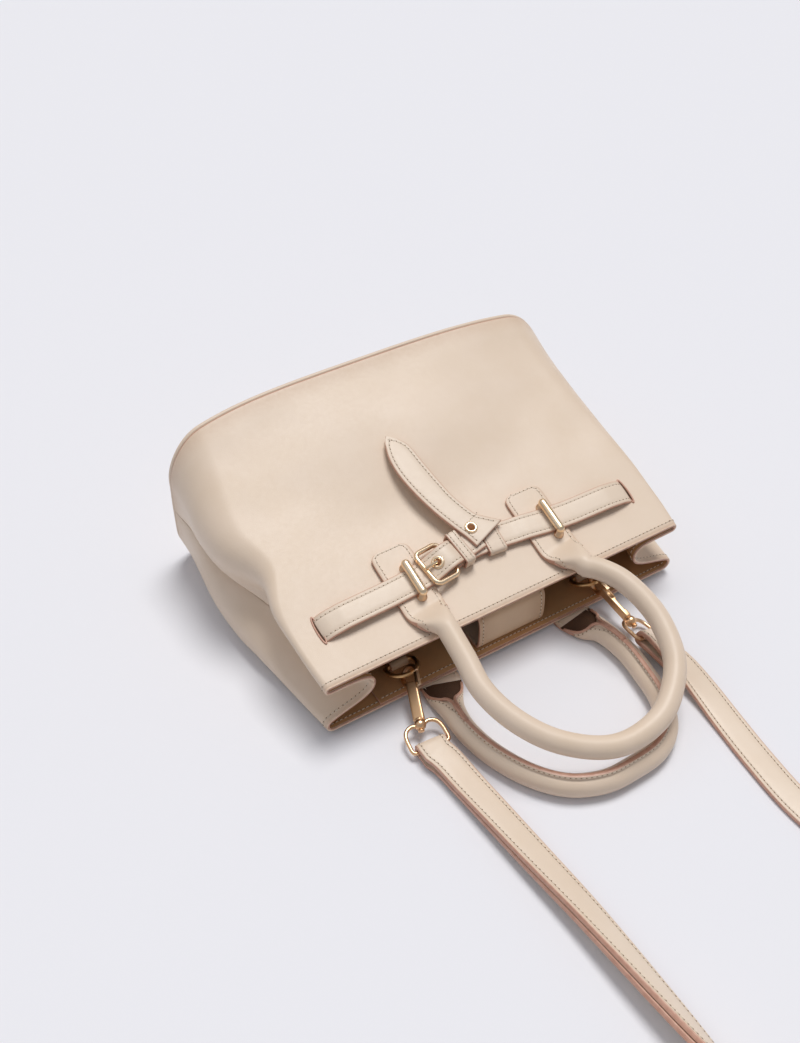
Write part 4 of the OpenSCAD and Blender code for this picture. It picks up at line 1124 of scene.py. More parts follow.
# Points of the front handle as shares of its reach
FRONT_SHARES = [(-0.449, -0.2), (-0.464, -0.4), (-0.408, -0.612), (-0.286, -0.806), (-0.102, -0.95),
                (0.082, -1), (0.306, -0.964), (0.48, -0.847), (0.592, -0.704), (0.65, -0.51), (0.65, -0.347),
                (0.612, -0.19)]
LIES_AT = GAP + HANDLE_R
front_route = spline([[FRONT_ROOT_X[0], FRONT_ROOT, LIES_AT, 1]]
                     + [[x * FRONT_REACH, y * FRONT_REACH, LIES_AT - y * 3.2, 1] for x, y in FRONT_SHARES]
                     + [[FRONT_ROOT_X[1] + 7, -8, LIES_AT, 1], [FRONT_ROOT_X[1], FRONT_ROOT, LIES_AT, 1]], 8)


def seam_side(seam):
    """The seam's angle between -180 and 180 degrees."""
    return (seam + 180) % 360 - 180


def seam_way(seam):
    return np.array([math.cos(math.radians(seam)), math.sin(math.radians(seam))])


def strip_size(share):
    """Half width, half thickness and squareness of a handle's section at a share of its roll."""
    return mix(END_W / 2, HANDLE_R, share), mix(END_T / 2, HANDLE_R, share), mix(0.2, 1, share)


def skin_point(a, half_w, half_t, e):
    return np.array([half_w * signed_power(math.cos(a), e), half_t * signed_power(math.sin(a), e)])


def flange_growth(i, n, ends):
    return mix(0.2, 1, smooth((min(i, n - 1 - i) - ends) / (n * 0.05)))


def rolled_by(share, seam):
    """How far the strip's edges have come round to the seam. The rear handle's lift as soon as they leave the
    bag."""
    start, end = (0.3, 0.98) if seam > 180 else (0.02, 0.9)
    return 0.95 * smooth((share - start) / (end - start))


def handle_section(share, seam, grow, trim):
    """Section from a flat strip at share 0 to a rolled tube with its sewn flange at share 1, as across, up
    and edge share; trim takes from the strip's half width, for its rounded end."""
    half_w, half_t, e = strip_size(share)
    half_w -= trim
    opens, opened = (0.25, 0.55) if seam > 180 else (0.0, 0.05)
    open_by = smooth((share - opens) / (opened - opens)) * (1 - smooth((share - 0.86) / 0.12))
    gape = abs(seam_side(seam)) * (1 - rolled_by(share, seam)) - 3
    out = []
    for c0, c1, m in flange_ring(seam, grow):
        if share > 0.999:
            out.append([c0, c1, m])
            continue
        a = math.atan2(c1, c0)
        lift = max(0.0, math.hypot(c0, c1) - HANDLE_R) * smooth(share)
        q = skin_point(a, half_w, half_t, e)
        if share < 0.94:
            m = 1.0 if share < 0.3 and abs(q[0]) > half_w - 0.5 and q[1] < half_t * 0.8 else 0.0
        q = q * (1 + lift / max(1.0, np.linalg.norm(q)))
        off = abs(seam_side(math.degrees(a) - seam))
        if open_by > 0 and off < gape:
            hollow = 1.25 * half_t * open_by * math.cos(math.pi / 2 * off / gape) ** 0.5
            q = q - hollow * seam_way(seam)
            # Faces deep in the open fold are marked 2 and take the dark lining finish: painted shade in the
            # hollow
            if open_by > 0.3 and off < gape * 0.94:
                m = 2.0
        out.append([*q, m])
    return out


def rolled_handle(name, route, ends, seam, bodies, stands_for, on=None):
    """A handle and its two sewn ends as one piece, with its painted edges and its rows of stitches. A route
    holds x, y, height, share of the roll and trim; ends is how many of its points at each end lie on the
    bag."""
    frames = handle_frames(route)
    n, below = len(frames), seam > 180
    on = on or (lambda q: np.array(q, float).reshape(-1, 3))
    span = [place(on([[0, y, 0]]))[0] for y in (BEND_HALF, -BEND_HALF)]
    key = (*bodies, *(tuple(q) for q in span))
    halves = (("left", range(n // 2)), ("right", range(n - 1, n // 2, -1)))

    def skin():
        rows, marks, wears = [], [], []
        for i, (p, s, u) in enumerate(frames):
            tube = handle_section(route[i][3], seam, flange_growth(i, n, ends), route[i][4])
            rows.append([p - s * c[0] + u * c[1] for c in tube])
            marks += [c[2] for c in tube]
            reach = max(abs(c[0]) for c in tube)
            wears += [max(smooth((abs(c[0]) / reach - 0.8) / 0.2) * (1 - route[i][3]),
                          0.5 if k >= ROUND_POINTS else 0.0) for k, c in enumerate(tube)]
        faces = skin_faces(len(rows), len(rows[0]))
        which = [1 if len(f) > 4 else round(min(marks[k] for k in f)) for f in faces]
        points = on(np.array([p for r in rows for p in r]))
        # The third finish, the dark lining, paints shade into the handle's open fold
        finishes = [CREAM, EDGE, LINING]
        piece = outward(make_piece(name, points, faces, finishes, None, stands_for, which, wears))
        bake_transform(piece)

    def painted_edge(end, part, edge, goal):
        """Bead along one edge of the strip, from its sewn end round to the seam."""
        line = []
        for i in part:
            p, s, u = frames[i]
            share, trim = route[i][3], route[i][4]
            if share < (0.2 if below else 0.03) or trim > 0 or share > 0.995:
                continue
            a = math.radians(goal) * rolled_by(share, seam)
            c = skin_point(a, *strip_size(share))
            near = smooth((math.degrees(abs(a)) - abs(goal) + 30) / 16) * smooth(share)
            c += (FLANGE_REACH * flange_growth(i, n, ends) * near - 0.2) * unit(c)
            line.append((p - s * edge * c[0] + u * c[1], mix(0.8, 0.95, share)))
        path, radii, sides = [q for q, r in line[1:]], [r for q, r in line[1:]], 8
        points = on(tube_points(path, radii, [0, 0.3, 1.0], sides))
        label = "%s_edge_%s_%s" % (name.replace("_leather", ""), end, "outer" if edge > 0 else "inner")
        bead = outward(make_piece(label, points, skin_faces(len(path), sides), [EDGE], None))
        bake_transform(bead)

    def row(stations):
        pts, nrm = (np.array([q[k] for q in stations]) for k in (0, 1))
        base = on(pts)
        stitch(key, base, on(pts + nrm) - base)

    def seam_row(side):
        """Stitches beside the flange, and on the rear handle along its lifted edges."""
        away = seam_way(seam)
        over = left_of(away)
        stations = []
        for i, (p, s, u) in enumerate(frames):
            share = route[i][3]
            if share < (0.93 if below else 0.3):
                continue
            high = HANDLE_R * 0.97 + FLANGE_REACH * flange_growth(i, n, ends) * 0.62
            c, out = away * high + over * side * SEAM_ASIDE, over * side
            if not below and share < 0.999:
                goal = seam_side(seam) if side < 0 else seam_side(180 - seam)
                a = math.radians(goal * rolled_by(share, seam) - 24)
                q = skin_point(a, *strip_size(share)) * [-side, 1]
                on_seam = smooth((share - 0.9) / 0.099)
                c, out = mix(q * 1.01, c, on_seam), unit(mix(unit(q), out, on_seam))
            stations.append((p - s * c[0] + u * c[1], -s * out[0] + u * out[1]))
        row(stations)

    def end_row(part):
        """Stitches up one side of a sewn end, across its tip and down the other side."""
        sides = []
        for edge in (-1, 1):
            line = []
            for i in part:
                p, s, u = frames[i]
                share, trim = route[i][3], route[i][4]
                if share > (0.96 if below else 0.02) or trim > 2.2:
                    continue
                half_w, half_t, e = strip_size(share)
                half_w -= trim
                start = half_w - END_SEAM
                high = half_t * math.sin(math.acos((start / half_w) ** (1 / e))) ** e
                if share < 0.35:
                    c0, c1, out = start, high, unit([edge * 0.9 * share, 1])
                else:
                    a = mix(38, math.copysign(74, seam_side(seam)), smooth((share - 0.35) / 0.6) ** 1.4)
                    c0, c1 = skin_point(math.radians(a), half_w, half_t, e)
                    turn = smooth((share - 0.35) / 0.15)
                    c0, c1 = mix(start, c0, turn), mix(high, c1, turn)
                    out = unit([edge * mix(0.9 * share, c0 / half_w, turn), mix(1, c1 / half_t, turn)])
                line.append((p - s * edge * c0 + u * (c1 + 0.03), -s * out[0] + u * out[1]))
            sides.append(line)
        (first, up), last = sides[0][0], sides[1][0][0]
        across = [(mix(first, last, k), up) for k in np.linspace(0, 1, 7)[1:-1]]
        row(sides[0][::-1] + across + sides[1])

    skin()
    for end, part in halves:
        painted_edge(end, part, 1, seam_side(seam))
        painted_edge(end, part, -1, seam_side(180 - seam))
    for side in (-1, 1):
        seam_row(side)
    for end, part in halves:
        end_row(part)


END_CORNER, ROLL_FROM, BEND_FROM = 5, 18, 19


def end_stations(end_x, root_x, base, start):
    """Stations of a sewn end from its rounded tip down to the root of the handle."""
    out = []
    tip = [END_L - END_CORNER * (1 - math.sin(math.radians(a))) for a in (90, 80, 68, 55, 40, 22)]
    for y in tip + list(np.linspace(END_L - 6, 21, 12)) + list(np.linspace(19.5, start, 24)):
        share = smooth((ROLL_FROM - y) / (ROLL_FROM - start))
        x = mix(end_x, root_x, smooth((BEND_FROM - y) / (BEND_FROM - start)))
        corner = max(0.0, y - (END_L - END_CORNER))
        trim = END_CORNER - math.sqrt(max(0.0, END_CORNER ** 2 - corner ** 2))
        out.append([x, y, base + mix(END_T / 2, HANDLE_R, share), share, trim])
    return out


def with_trim(route):
    return [[*q, 0.0] for q in route]


FRONT_RUN = [end_stations(FRONT_END_X[i], FRONT_ROOT_X[i], GAP, -1.4) for i in (0, 1)]
rolled_handle("front_handle_leather", FRONT_RUN[0] + with_trim(front_route[1:-1]) + FRONT_RUN[1][::-1],
              len(FRONT_RUN[0]), 270, ("bag_body", "front_handle_part"),
              ["front_handle", "front_end_left", "front_end_right"], on=on_front)

REAR_END_X, REAR_ROOT = (-46, 45), -1.5
REAR_SHARES = [(-0.48, -0.117), (-0.51, -0.243), (-0.52, -0.389), (-0.485, -0.573), (-0.398, -0.767),
               (-0.272, -0.913), (-0.107, -0.99), (0.058, -1), (0.233, -0.98), (0.369, -0.893),
               (0.456, -0.738), (0.49, -0.563), (0.505, -0.388), (0.485, -0.214), (0.456, -0.117)]
rear_points = ([[REAR_END_X[0], REAR_ROOT]] + [[x * REAR_REACH, y * REAR_REACH] for x, y in REAR_SHARES]
               + [[REAR_END_X[1], REAR_ROOT]])
rear_line = []
for i, p in enumerate(rear_points):
    s = smooth(min(i, len(rear_points) - 1 - i) / 2.5)
    rear_line.append([p[0], p[1], mix(END_T / 2, HANDLE_R, s) + 0.05, s])
rear_route = spline(rear_line, 8)
REAR_RUN = [[[x, y, END_T / 2 + 0.05, 0.0, 0.0] for y in np.linspace(END_L, 1, 10)] for x in REAR_END_X]
rolled_handle("rear_handle_leather", REAR_RUN[0] + with_trim(rear_route) + REAR_RUN[1][::-1],
              len(REAR_RUN[0]), 93, ("bag_body", "rear_handle_part"),
              ["rear_handle", "rear_end_left", "rear_end_right"])


# Belt
BELT_H, LOW_H = END_T + 2 * GAP, 1.9
SLEEVE_R = BUCKLE_R + 0.2 + 0.8
HUMP_H = LOW_H + 2 * SLEEVE_R + GAP
UPPER_H = LOW_H + BELT_T + GAP
PIVOT, PIVOT_TURN = np.array([-19.5, 36.9, LOW_H + SLEEVE_R]), 8
SLOT_X, SLOT_Y = (-102.6, 100.4), 31.0
BELT_SEAM = 2.4


def out_of_slot(side):
    """Start of a belt end's route, from below its slot up through it."""
    return [(SLOT_X[side] + (x if side == 0 else -x), y, h)
            for x, y, h in ((-1.2, 30.9, -6.4), (-0.2, 30.9, -4.4), (1.2, 31, -1.6), (5, 31.1, 1))]


LEFT_ROUTE = out_of_slot(0) + [
    (-88, 31.3, BELT_H), (-60, 31.8, BELT_H), (-44, 32.6, BELT_H), (-33.5, 34.3, BELT_H),
    (-22.3, 36.4, HUMP_H), (-17, 37.5, HUMP_H), (-13.4, 38.2, UPPER_H), (2, 41, UPPER_H)]
RIGHT_ROUTE = out_of_slot(1) + [
    (86, 31.3, BELT_H), (60, 31.9, BELT_H), (44, 33.2, BELT_H), (30, 35.3, BELT_H), (25, 36, LOW_H),
    (12, 37.6, LOW_H), (0, 38.4, LOW_H), (-10, 38.1, LOW_H), (-19.5, 36.9, LOW_H)]


def eased(route):
    """A route of straight stretches with its corners eased, stepped evenly."""
    step, soft = 1.5, 2.2
    r = np.array(route, float)
    seg = np.linalg.norm(np.diff(r, axis=0), axis=1)
    at = np.concatenate([[0], np.cumsum(seg)])
    total = at[-1]
    out = []
    for d in np.arange(0, total + step * 0.5, step):
        acc, weight = np.zeros(3), 0.0
        for o, w in ((-1, 1), (-0.5, 2), (0, 3), (0.5, 2), (1, 1)):
            reach = min(soft, d, total - d)
            t = min(max(d + o * reach, 0), total)
            acc += w * np.array([np.interp(t, at, r[:, k]) for k in range(3)])
            weight += w
        out.append(acc / weight)
    out[-1] = r[-1]
    return out


def belt(name, route, stands_for, sewn_from=-HALF_BASE):
    """One end of the belt on the sloping front, sewn along both edges to the right of a place across."""
    line = eased(route)
    across, above = [], []
    for i in range(len(line)):
        d = heading(line, i)
        s = unit([-d[1], d[0], 0])
        across.append(s)
        above.append(np.cross(d, s))
    section = flat_section(BELT_W, BELT_T, soft=0.6, groove=BELT_SEAM, crown=0.25)
    sweep(name, line, across, above, section, [TABS, EDGE], "bag_body", stands_for, rounded=0.3, on=on_front)
    keep = [k for k in range(1, len(line) - 1) if line[k][0] >= sewn_from]
    for edge in (-1, 1):
        pts = np.array([p + s * edge * (BELT_W / 2 - BELT_SEAM) + u * (BELT_T + 0.02)
                        for p, s, u in zip(line, across, above)])
        base = on_front(pts[keep])
        tips = on_front((pts + np.array(above))[keep])
        stitch("bag_body", base, tips - base)


def belt_slot(x, side):
    """The cut that a belt end passes through: a dark lens of painted shade and its painted, slightly raised
    lips.
    """
    half, wide, lip, n = BELT_W / 2 + 0.6, 1.35, 0.5, 40
    middle = np.array([x, SLOT_Y, 0])
    rim = []
    for a in (2 * math.pi * k / n for k in range(n)):
        across, along_slot = wide * signed_power(math.cos(a), 1.25), half * signed_power(math.sin(a), 0.9)
        rim.append(middle + [across, along_slot, 0.0])
    lens = [[*(mix(middle, p, 0.98)[:2]), h] for h in (-0.6, 0.16) for p in rim]
    outward(make_piece("slot_shade_" + side, on_front(lens), skin_faces(2, n), [SHADE]))
    tube, m = [], 10
    for k, p in enumerate(rim):
        d = unit(rim[(k + 1) % n] - rim[k - 1])
        w = np.array([d[1], -d[0], 0])
        tube += [p + w * lip * math.cos(b) + np.array([0, 0, 0.2 + lip * math.sin(b)]) for b in around(m)]
    outward(make_piece("slot_lips_" + side, on_front(tube), skin_faces(n, m, ring_closed=True), [EDGE]))


belt_slot(SLOT_X[0], "left")
belt_slot(SLOT_X[1], "right")
belt("belt_left_leather", LEFT_ROUTE, ["belt_left"])
belt("belt_right_leather", RIGHT_ROUTE, ["belt_right"], sewn_from=3)


def rounded_box(x0, x1, z0, z1, r):
    """Outline of a box with round corners, with more points along its top."""
    out = []
    for cx, cz, a0 in ((x1 - r, z1 - r, 0), (x0 + r, z1 - r, 90), (x0 + r, z0 + r, 180),
                       (x1 - r, z0 + r, 270)):
        for k in range(5):
            a = math.radians(a0 + k * 22.5)
            out.append(np.array([cx + r * math.cos(a), cz + r * math.sin(a)]))
        if a0 == 0:
            p, q = out[-1], np.array([x0 + r, z1])
            out += [mix(p, q, s) for s in (0.25, 0.5, 0.75)]
    return out


def belt_sleeve(name, stands_for, x, y, turn, length, top, half):
    """Band of leather round the belt, folded and glued under it."""
    wall, low, soft = 1.2, 0.4, 0.35
    high = top + GAP + wall
    outside = rounded_box(-half - wall, half + wall, low, high, 1.6)
    inside = rounded_box(-half, half, LOW_H - GAP, high - wall + 0.15, 0.6)
    turn_m, middle, n = turned("Z", turn), np.array([0, (low + high) / 2]), len(outside)
    rows = []
    for s, inset in ((-1, soft), (-1, 0), (-0.6, 0), (0, 0), (0.6, 0), (1, 0), (1, soft)):
        at = s * (length / 2 - (soft if abs(s) == 1 and not inset else 0.0))
        ring = [p - unit(p - middle) * inset for p in outside]
        rows.append([turn_m @ np.array([at, q[0], q[1]]) + [x, y, 0] for q in ring])
    for s in (1, 0.5, 0, -0.5, -1):
        rows.append([turn_m @ np.array([s * length / 2, p[0], p[1]]) + [x, y, 0] for p in inside])
    points = on_front([p for r in rows for p in r])
    faces = skin_faces(len(rows), n, ring_closed=True)
    which = [1 if k // n in (0, 5, 6, len(rows) - 1) else 0 for k in range(len(faces))]
    outward(make_piece(name, points, faces, [TABS, EDGE], "bag_body", stands_for, which,
                       [0.25] * len(points)))
    for s in (-1, 1):
        pts = [turn_m @ np.array([s * (length / 2 - 1.6), v, high + 0.04]) + [x, y, 0]
               for v in np.linspace(-half + 0.8, half - 0.8, 9)]
        base = on_front(pts)
        stitch("bag_body", base, on_front(np.array(pts) + [0, 0, 1]) - base)


belt_sleeve("keeper_band_leather", ["keeper_band"], -10.9, 38.6, 6, 6.4, UPPER_H + BELT_T + 0.9,
            BELT_W / 2 + 1.5)
belt_sleeve("belt_loop_leather", ["belt_loop"], 9.5, 37.9, -4, 11, LOW_H + BELT_T, BELT_W / 2 + 1)

# Pointed end that lies up the front
POINT_H, POINT_TILT, POINT_ROOT = UPPER_H + BELT_T + GAP, -0.4, (-2, 34.2)
EYELET_TWO = (0.2, 45.8)
POINT_LEFT = [(-11.8, 119), (-14.9, 115), (-18, 105), (-18.6, 93.5), (-16.8, 79.5), (-13.2, 64.4), (-8.6, 51),
              (-5, 42), (-2.8, 34.6)]
POINT_RIGHT = [(-11.8, 119), (-7.4, 115.6), (-2.9, 108.4), (-1.3, 94), (0.4, 79.8), (2.4, 67.6), (7, 54),
               (10.9, 49.7), (18.9, 43)]
POINT_SEAM, GROOVED_FROM = 2.3, 9


def on_point(points):
    """Points on the pointed end, which tilts about its root, to the bag's axes."""
    p = np.array(points, float).reshape(-1, 3)
    a = math.radians(POINT_TILT)
    y, z = p[:, 1] - POINT_ROOT[1], p[:, 2]
    return on_front(np.stack([p[:, 0], POINT_ROOT[1] + y * math.cos(a) - z * math.sin(a),
                              POINT_H + y * math.sin(a) + z * math.cos(a)], 1))


def thin_section(w):
    """The strip's section with as many points as a grooved one, for where it is too narrow for a groove."""
    wide = 20.0
    grooved = flat_section(wide, BELT_T, soft=0.5, groove=BELT_SEAM)
    return [(x * w / wide, u if e == 0 and u < 0.01 else (BELT_T if e == 0 else u), e) for x, u, e in grooved]


def sewn_to_point(pts):
    base = on_point(pts)
    stitch("pointed_end", base, on_point(np.array(pts) + [0, 0, 1]) - base)


def pointed_end():
    lefts, rights = spline(POINT_LEFT, 7), spline(POINT_RIGHT, 7)
    rows, marks, wears = [], [], []
    for a, b in zip(lefts, rights):
        width = np.linalg.norm(b - a)
        mid, way = (a + b) / 2, unit(b - a) if width > 0.05 else np.array([1.0, 0])
        w = max(width, 0.6)
        section = (thin_section(w) if w <= GROOVED_FROM
                   else flat_section(w, BELT_T, soft=0.6, groove=BELT_SEAM, crown=0.3 * clamp(w / 15)))
        rows.append([[mid[0] + way[0] * x, mid[1] + way[1] * x, u] for x, u, e in section])
        marks += [e for x, u, e in section]
        wears += [smooth((abs(x) / (w / 2) - 0.72) / 0.28) for x, u, e in section]
    points = on_point([p for r in rows for p in r])
    faces = skin_faces(len(rows), len(rows[0]))
    which = [1 if (min(marks[k] for k in f) > 0.5 or len(f) > 4) else 0 for f in faces]
    outward(make_piece("pointed_strap_leather", points, faces, [TABS, EDGE], "pointed_end", ["pointed_strap"],
                       which, wears))
    for line, sign in ((lefts, 1), (rights, -1)):
        pts = []
        for k in range(3, len(line) - 4):
            inward = left_of(unit(line[k + 1] - line[k - 1]))
            if np.dot(inward, unit(rights[k] - lefts[k]) * sign) < 0:
                inward = -inward
            p = line[k] + inward * POINT_SEAM
            pts.append([p[0], p[1], BELT_T + 0.1])
        sewn_to_point(pts)
    crease = (np.array([-1.0, 49.0, BELT_T + 0.25]), np.array([7.0, 52.0, BELT_T + 0.25]))
    sewn_to_point([mix(*crease, s) for s in np.linspace(0, 1, 6)])


pointed_end()


# Ring tabs
def ring_tab(i, name, stands_for):
    """Leather folded round a ring and sewn to the facing."""
    width, thick = RING_W / 2 + 1, 0.9
    centre, reach = np.array([RING_Y, RING_Z]), RING_R + GAP + 0.65
    fold = [centre + reach * np.array([math.cos(a), math.sin(a)])
            for a in np.radians(np.linspace(60, 300, 20))]
    leg_top = [(FACING_W, TAB_Z + TAB_T - 0.45), (RING_Y + 5, TAB_Z + TAB_T - 0.2)]
    leg_low = [(RING_Y + 5, TAB_Z + 0.45), (FACING_W, TAB_Z + 0.45)]
    pts = [np.array([RING_X[i], *p]) for p in spline(leg_top + fold + leg_low, 2)]
    across = [np.array([1.0, 0, 0])] * len(pts)
    above = []
    for k in range(len(pts)):
        d = heading(pts, k)
        above.append(np.array([0, -d[2], d[1]]))
    base = [p - u * thick / 2 for p, u in zip(pts, above)]
    # The ring tabs take the shaded tab leather: painted shade
    sweep(name, base, across, above, flat_section(width, thick, soft=0.4), [SHADED, EDGE], "bag_body",
          stands_for, rounded=0.3)


ring_tab(0, "ring_tab_left_leather", ["ring_tab_left"])
ring_tab(1, "ring_tab_right_leather", ["ring_tab_right"])


# Bright metal
def turned_points(rings, n):
    return np.array([[r * math.cos(a), r * math.sin(a), h] for r, h in rings for a in around(n)])


def lathe(name, rings, finish, body, on, stands_for=(), n=32):
    """Turned piece from rings of (radius, height), set by on."""
    points = on(turned_points(rings, n))
    outward(make_piece(name, points, skin_faces(len(rings), n), [finish], body, stands_for))


def wire(name, path, radius, finish, body, over, closed=False, n=14, stands_for=()):
    """Round wire along a path of the bag's axes that lies about flat under the direction over."""
    path = [np.asarray(p, float) for p in path]
    outward(make_piece(name, tube_points(path, radius, over, n, closed), skin_faces(len(path), n, closed),
                       [finish], body, stands_for))


def front_bar(i, side):
    """Bar with domed ends over a handle's end, on two studs."""
    r, half, high = 2.5, 9.2, BELT_H + BELT_T + 2 * GAP + 2.5
    caps = [(r * math.sin(a), -half - r * math.cos(a)) for a in np.radians([4, 20, 38, 56, 74, 90])]
    rings = caps + [(r * 0.985, -half + 1.6), (r * 0.985, half - 1.6)] + [(q, -h) for q, h in caps[::-1]]

    def along_slope(p):
        return on_front(np.stack([BAR_X[i] + p[:, 0], BAR_Y + p[:, 2], high + p[:, 1]], 1))

    lathe("front_bar_" + side, rings, GOLD, "bag_body", along_slope, ["bar_" + side])
    for end, place_y in (("low", -half - 0.6), ("high", half - 0.2)):
        seat = END_T + GAP
        foot = [(2.8, seat), (2.9, seat + 0.5), (2.7, seat + 0.95), (2.0, seat + 1.1), (1.9, high)]
        lathe("bar_foot_%s_%s" % (side, end), foot, PEACH, "bag_body",
              lambda p, y=place_y: on_front(p + [BAR_X[i], BAR_Y + y, 0]))


front_bar(0, "left")
front_bar(1, "right")


def eyelet_ring(name, body, on, stands_for):
    """Rolled rim of an eyelet, and a dark disc in its bore as painted shade."""
    rim = [(2.75 + 0.95 * math.cos(a), BELT_T + 0.45 + 0.8 * math.sin(a))
           for a in np.radians(range(-60, 241, 20))]
    rim += [(1.85, BELT_T - 0.6), (2.4, BELT_T - 0.6)]
    n = 36
    faces = skin_faces(len(rim), n, ring_closed=True)
    outward(make_piece(name, on(turned_points(rim, n)), faces, [GOLD], body, [stands_for]))
    floor, top = BELT_T - 0.1, BELT_T + 0.6
    lathe(name + "_bore", [(0.1, floor), (2.0, floor), (2.0, top), (0.1, top)], BORE_PAINTED_SHADE, body, on, n=24)


EYELET_AT = np.array([-26.6, 35.6])
RISE_FROM, RISE_L = -33.5, 11.2
EYELET_H = mix(BELT_H, HUMP_H, (EYELET_AT[0] - RISE_FROM) / RISE_L)
rise = turned("Y", -math.degrees(math.atan((HUMP_H - BELT_H) / RISE_L)))
eyelet_ring("belt_eyelet_rim", "bag_body", lambda p: on_front(p @ rise.T + [*EYELET_AT, EYELET_H]),
            "eyelet_belt")
eyelet_ring("point_eyelet_rim", "pointed_end", lambda p: on_point(p + [*EYELET_TWO, 0]), "eyelet_point")


def buckle():
    """Frame of the buckle, lifted from its bar to clear the belt's end."""
    high = BELT_H + BELT_T + GAP + BUCKLE_R + 0.2 - LOW_H - SLEEVE_R
    long, half, corner, r = math.hypot(BUCKLE_L, high), BUCKLE_H / 2 - BUCKLE_R, 3.4, 1.45
    turn = turned("Z", PIVOT_TURN) @ turned("Y", math.degrees(math.atan(high / BUCKLE_L)))
    path = []
    for cx, cy, a0 in ((0, 1, 0), (-1, 1, 90), (-1, -1, 180), (0, -1, 270)):
        c = np.array([-long + corner if cx else -corner, cy * (half - corner), 0])
        path += [c + corner * np.array([math.cos(a), math.sin(a), 0])
                 for a in np.radians(np.linspace(a0, a0 + 90, 9))]
    route = []
    for k, q in enumerate(path):
        nxt = path[(k + 1) % len(path)]
        route += [mix(q, nxt, t) for t in ((0, 0.34, 0.67) if np.linalg.norm(nxt - q) > 3 else (0,))]
    wire("buckle_wire", on_front(np.array(route) @ turn.T + PIVOT), r, GOLD, "bag_body",
         over=(0, -math.sin(SLOPE), math.cos(SLOPE)), closed=True, stands_for=["buckle_frame"])


buckle()


def strap_loop(i, side):
    """Loop of wire with sloping shoulders, swivelling on a ball."""
    half = LOOP_W / 2 - LOOP_R
    shape = [(2.2, 0.4), (4.2, -0.5), (6.6, -0.3), (8.8, 1.0), (10.1, 3.1), (half - 0.1, 6), (half, 9),
             (half, LOOP_L - 2.2), (half - 0.7, LOOP_L - 0.6), (half - 2.4, LOOP_L)]
    right = spline([np.array([x, y, 0.0]) for x, y in shape], 5)
    path = right + [np.array([-p[0], p[1], 0]) for p in right[::-1]]
    axes, centre = loop_axes(i), down_clasp(i, BOSS_Y)
    wire("loop_wire_" + side, [axes @ p + centre for p in path], 1.12, PEACH, "bag_body", over=axes[:, 2],
         stands_for=["strap_loop_" + side])
    ball_r = BOSS_R + 0.1
    ball = [(ball_r * math.sin(a), -ball_r * math.cos(a)) for a in np.radians(range(3, 180, 12))]
    lathe("loop_ball_" + side, ball, PEACH, "bag_body", lambda p: p @ axes.T + centre, n=36)


strap_loop(0, "left")
strap_loop(1, "right")


# The left shank is turned so far about itself in degrees; the right one stays square, clear of its gate
SHANK_TWIST = (-28, 0)
# Rings of a clasp's shank: height, half width, half depth in front, and how far the slots at its sides go in
SHANK = [(4.4, 2.1, 1.5, 0), (4.9, 2.9, 2.0, 0), (5.5, 3.1, 2.3, 0), (5.7, 3.1, 2.3, 1.1),
         (12.6, 3.1, 2.3, 1.1), (12.8, 3.1, 2.3, 0), (13.8, 3.1, 2.1, 0), (15.2, 3.1, 0.9, 0),
         (22.2, 3.1, 0.9, 0), (23.6, 3.1, 1.9, 0), (26.6, 3.1, 1.9, 0), (27.3, 2.8, 1.6, 0),
         (27.5, 2.3, 1.2, 0)]
SHANK_BACK = 1.5
COLLAR = [(0.9, 26.2), (2.3, 26.4), (2.5, 27.0), (2.3, 27.6), (0.9, 27.8)]
PIN = [(1.0, 26.2), (1.0, BOSS_Y + 3.2), (1.7, BOSS_Y + 3.3), (1.8, BOSS_Y + 3.9), (1.2, BOSS_Y + 4.3),
       (0.2, BOSS_Y + 4.4)]


def clasp_axes(i):
    return (turned("Z", CLASP_TURN[i]) @ turned("X", -CLASP_FALL[i])) @ turned("Y", CLASP_ROLL[i])


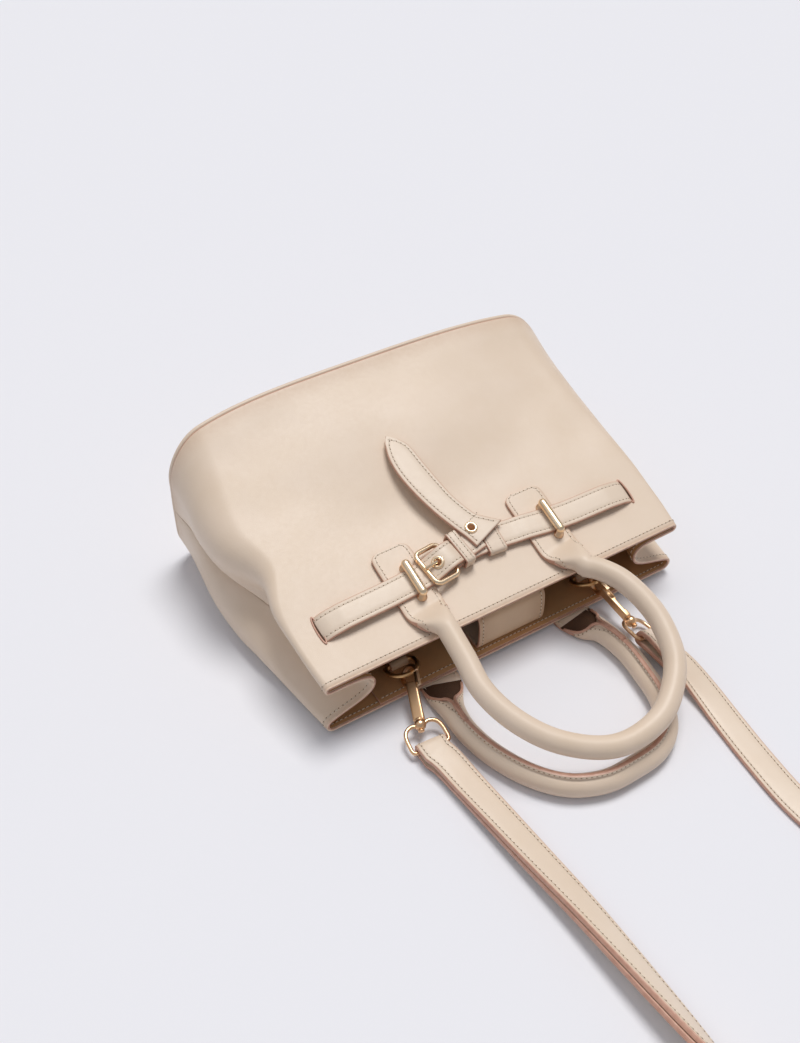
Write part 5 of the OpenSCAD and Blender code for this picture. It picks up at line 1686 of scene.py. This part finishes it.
def clasp(i, side):
    """Snap hook: a tapering eye, and a domed shank with a slot for the gate's spring, slender above its
    swivel."""
    axes, centre = clasp_axes(i), apex(i)

    def on(p):
        return (np.array(p, float).reshape(-1, 3) + [0, SEAT[i], 0]) @ axes.T + centre

    eye = [[EYE_C * math.cos(a), EYE_C * math.sin(a), 0] for a in np.radians(np.linspace(88, 358, 40))]
    radii = [mix(1.6, 1.15, k / 39) for k in range(40)]
    wire("clasp_eye_" + side, on(eye), radii, PEACH, side + "_clasp", over=axes[:, 2],
         stands_for=["clasp_" + side])
    rows, n, twist = [], 48, math.radians(SHANK_TWIST[i])
    along_x, along_z = math.cos(twist), math.sin(twist)
    for y, w, front, notch in SHANK:
        row = []
        for a in (2 * math.pi * k / n for k in range(n)):
            t = front if math.sin(a) > 0 else min(SHANK_BACK, front + 0.6)
            x, z = w * signed_power(math.cos(a), 0.3), t * signed_power(math.sin(a), 0.45)
            if notch and abs(z) < 0.55 * t:
                x = math.copysign(w - notch, x)
            row.append([x * along_x + z * along_z, y, z * along_x - x * along_z])
        rows.append(row)
    outward(make_piece("clasp_shank_" + side, on([p for r in rows for p in r]), skin_faces(len(rows), n),
                       [SATIN], side + "_clasp"))
    for part, rings in (("collar", COLLAR), ("pin", PIN)):
        lathe("clasp_%s_%s" % (part, side), rings, PEACH, side + "_clasp", lambda p: on(p[:, [0, 2, 1]]))


clasp(0, "left")
clasp(1, "right")

sew_all()

# Metal and inner parts keep their solids
for name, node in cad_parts.items():
    if node.hide_render:
        continue
    finish = (BOARD if name == "base_board" else CORE if name.endswith("_core")
              else DULL_GOLD if name.startswith("ring_") else GOLD)
    node.data.materials.clear()
    node.data.materials.append(finish)


# Floor and light
def studio():
    m = Bench("pale_floor")
    grey = m.noise(3.0, 2.0)
    shown = m.node("ShaderNodeBsdfPrincipled", inputs={
        "Base Color": m.blend(grey * 0.2, paint(233, 233, 238), paint(231, 231, 237)), "Roughness": 0.9,
        "Specular IOR Level": 0.1})
    m.node("ShaderNodeOutputMaterial", inputs={"Surface": shown})
    half = 6.0
    mesh = bpy.data.meshes.new("studio_floor")
    corners = [(-half, -half, 0), (half, -half, 0), (half, half, 0), (-half, half, 0)]
    mesh.from_pydata(corners, [], [(0, 1, 2, 3)])
    mesh.materials.append(m.material)
    floor = bpy.data.objects.new("studio_floor", mesh)
    bpy.context.scene.collection.objects.link(floor)

    world = bpy.data.worlds.new("studio")
    bpy.context.scene.world = world
    world.use_nodes = True
    sky = world.node_tree.nodes["Background"]
    sky.inputs["Color"].default_value = paint(236, 238, 244)
    sky.inputs["Strength"].default_value = 0.4

    def sun(name, azimuth, height, strength, spread, colour):
        light = bpy.data.lights.new(name, "SUN")
        light.energy, light.angle, light.color = strength, math.radians(spread), colour
        lamp = bpy.data.objects.new(name, light)
        a, h = math.radians(azimuth), math.radians(height)
        way = Vector((math.cos(a) * math.cos(h), math.sin(a) * math.cos(h), math.sin(h)))
        lamp.rotation_euler = way.to_track_quat("Z", "Y").to_euler()
        bpy.context.scene.collection.objects.link(lamp)

    sun("key", 38, 70, 2.08, 26, (1.0, 0.985, 0.96))
    sun("fill", 150, 60, 0.22, 60, (0.97, 0.98, 1.0))


studio()
bpy.context.scene.view_settings.view_transform = "Standard"
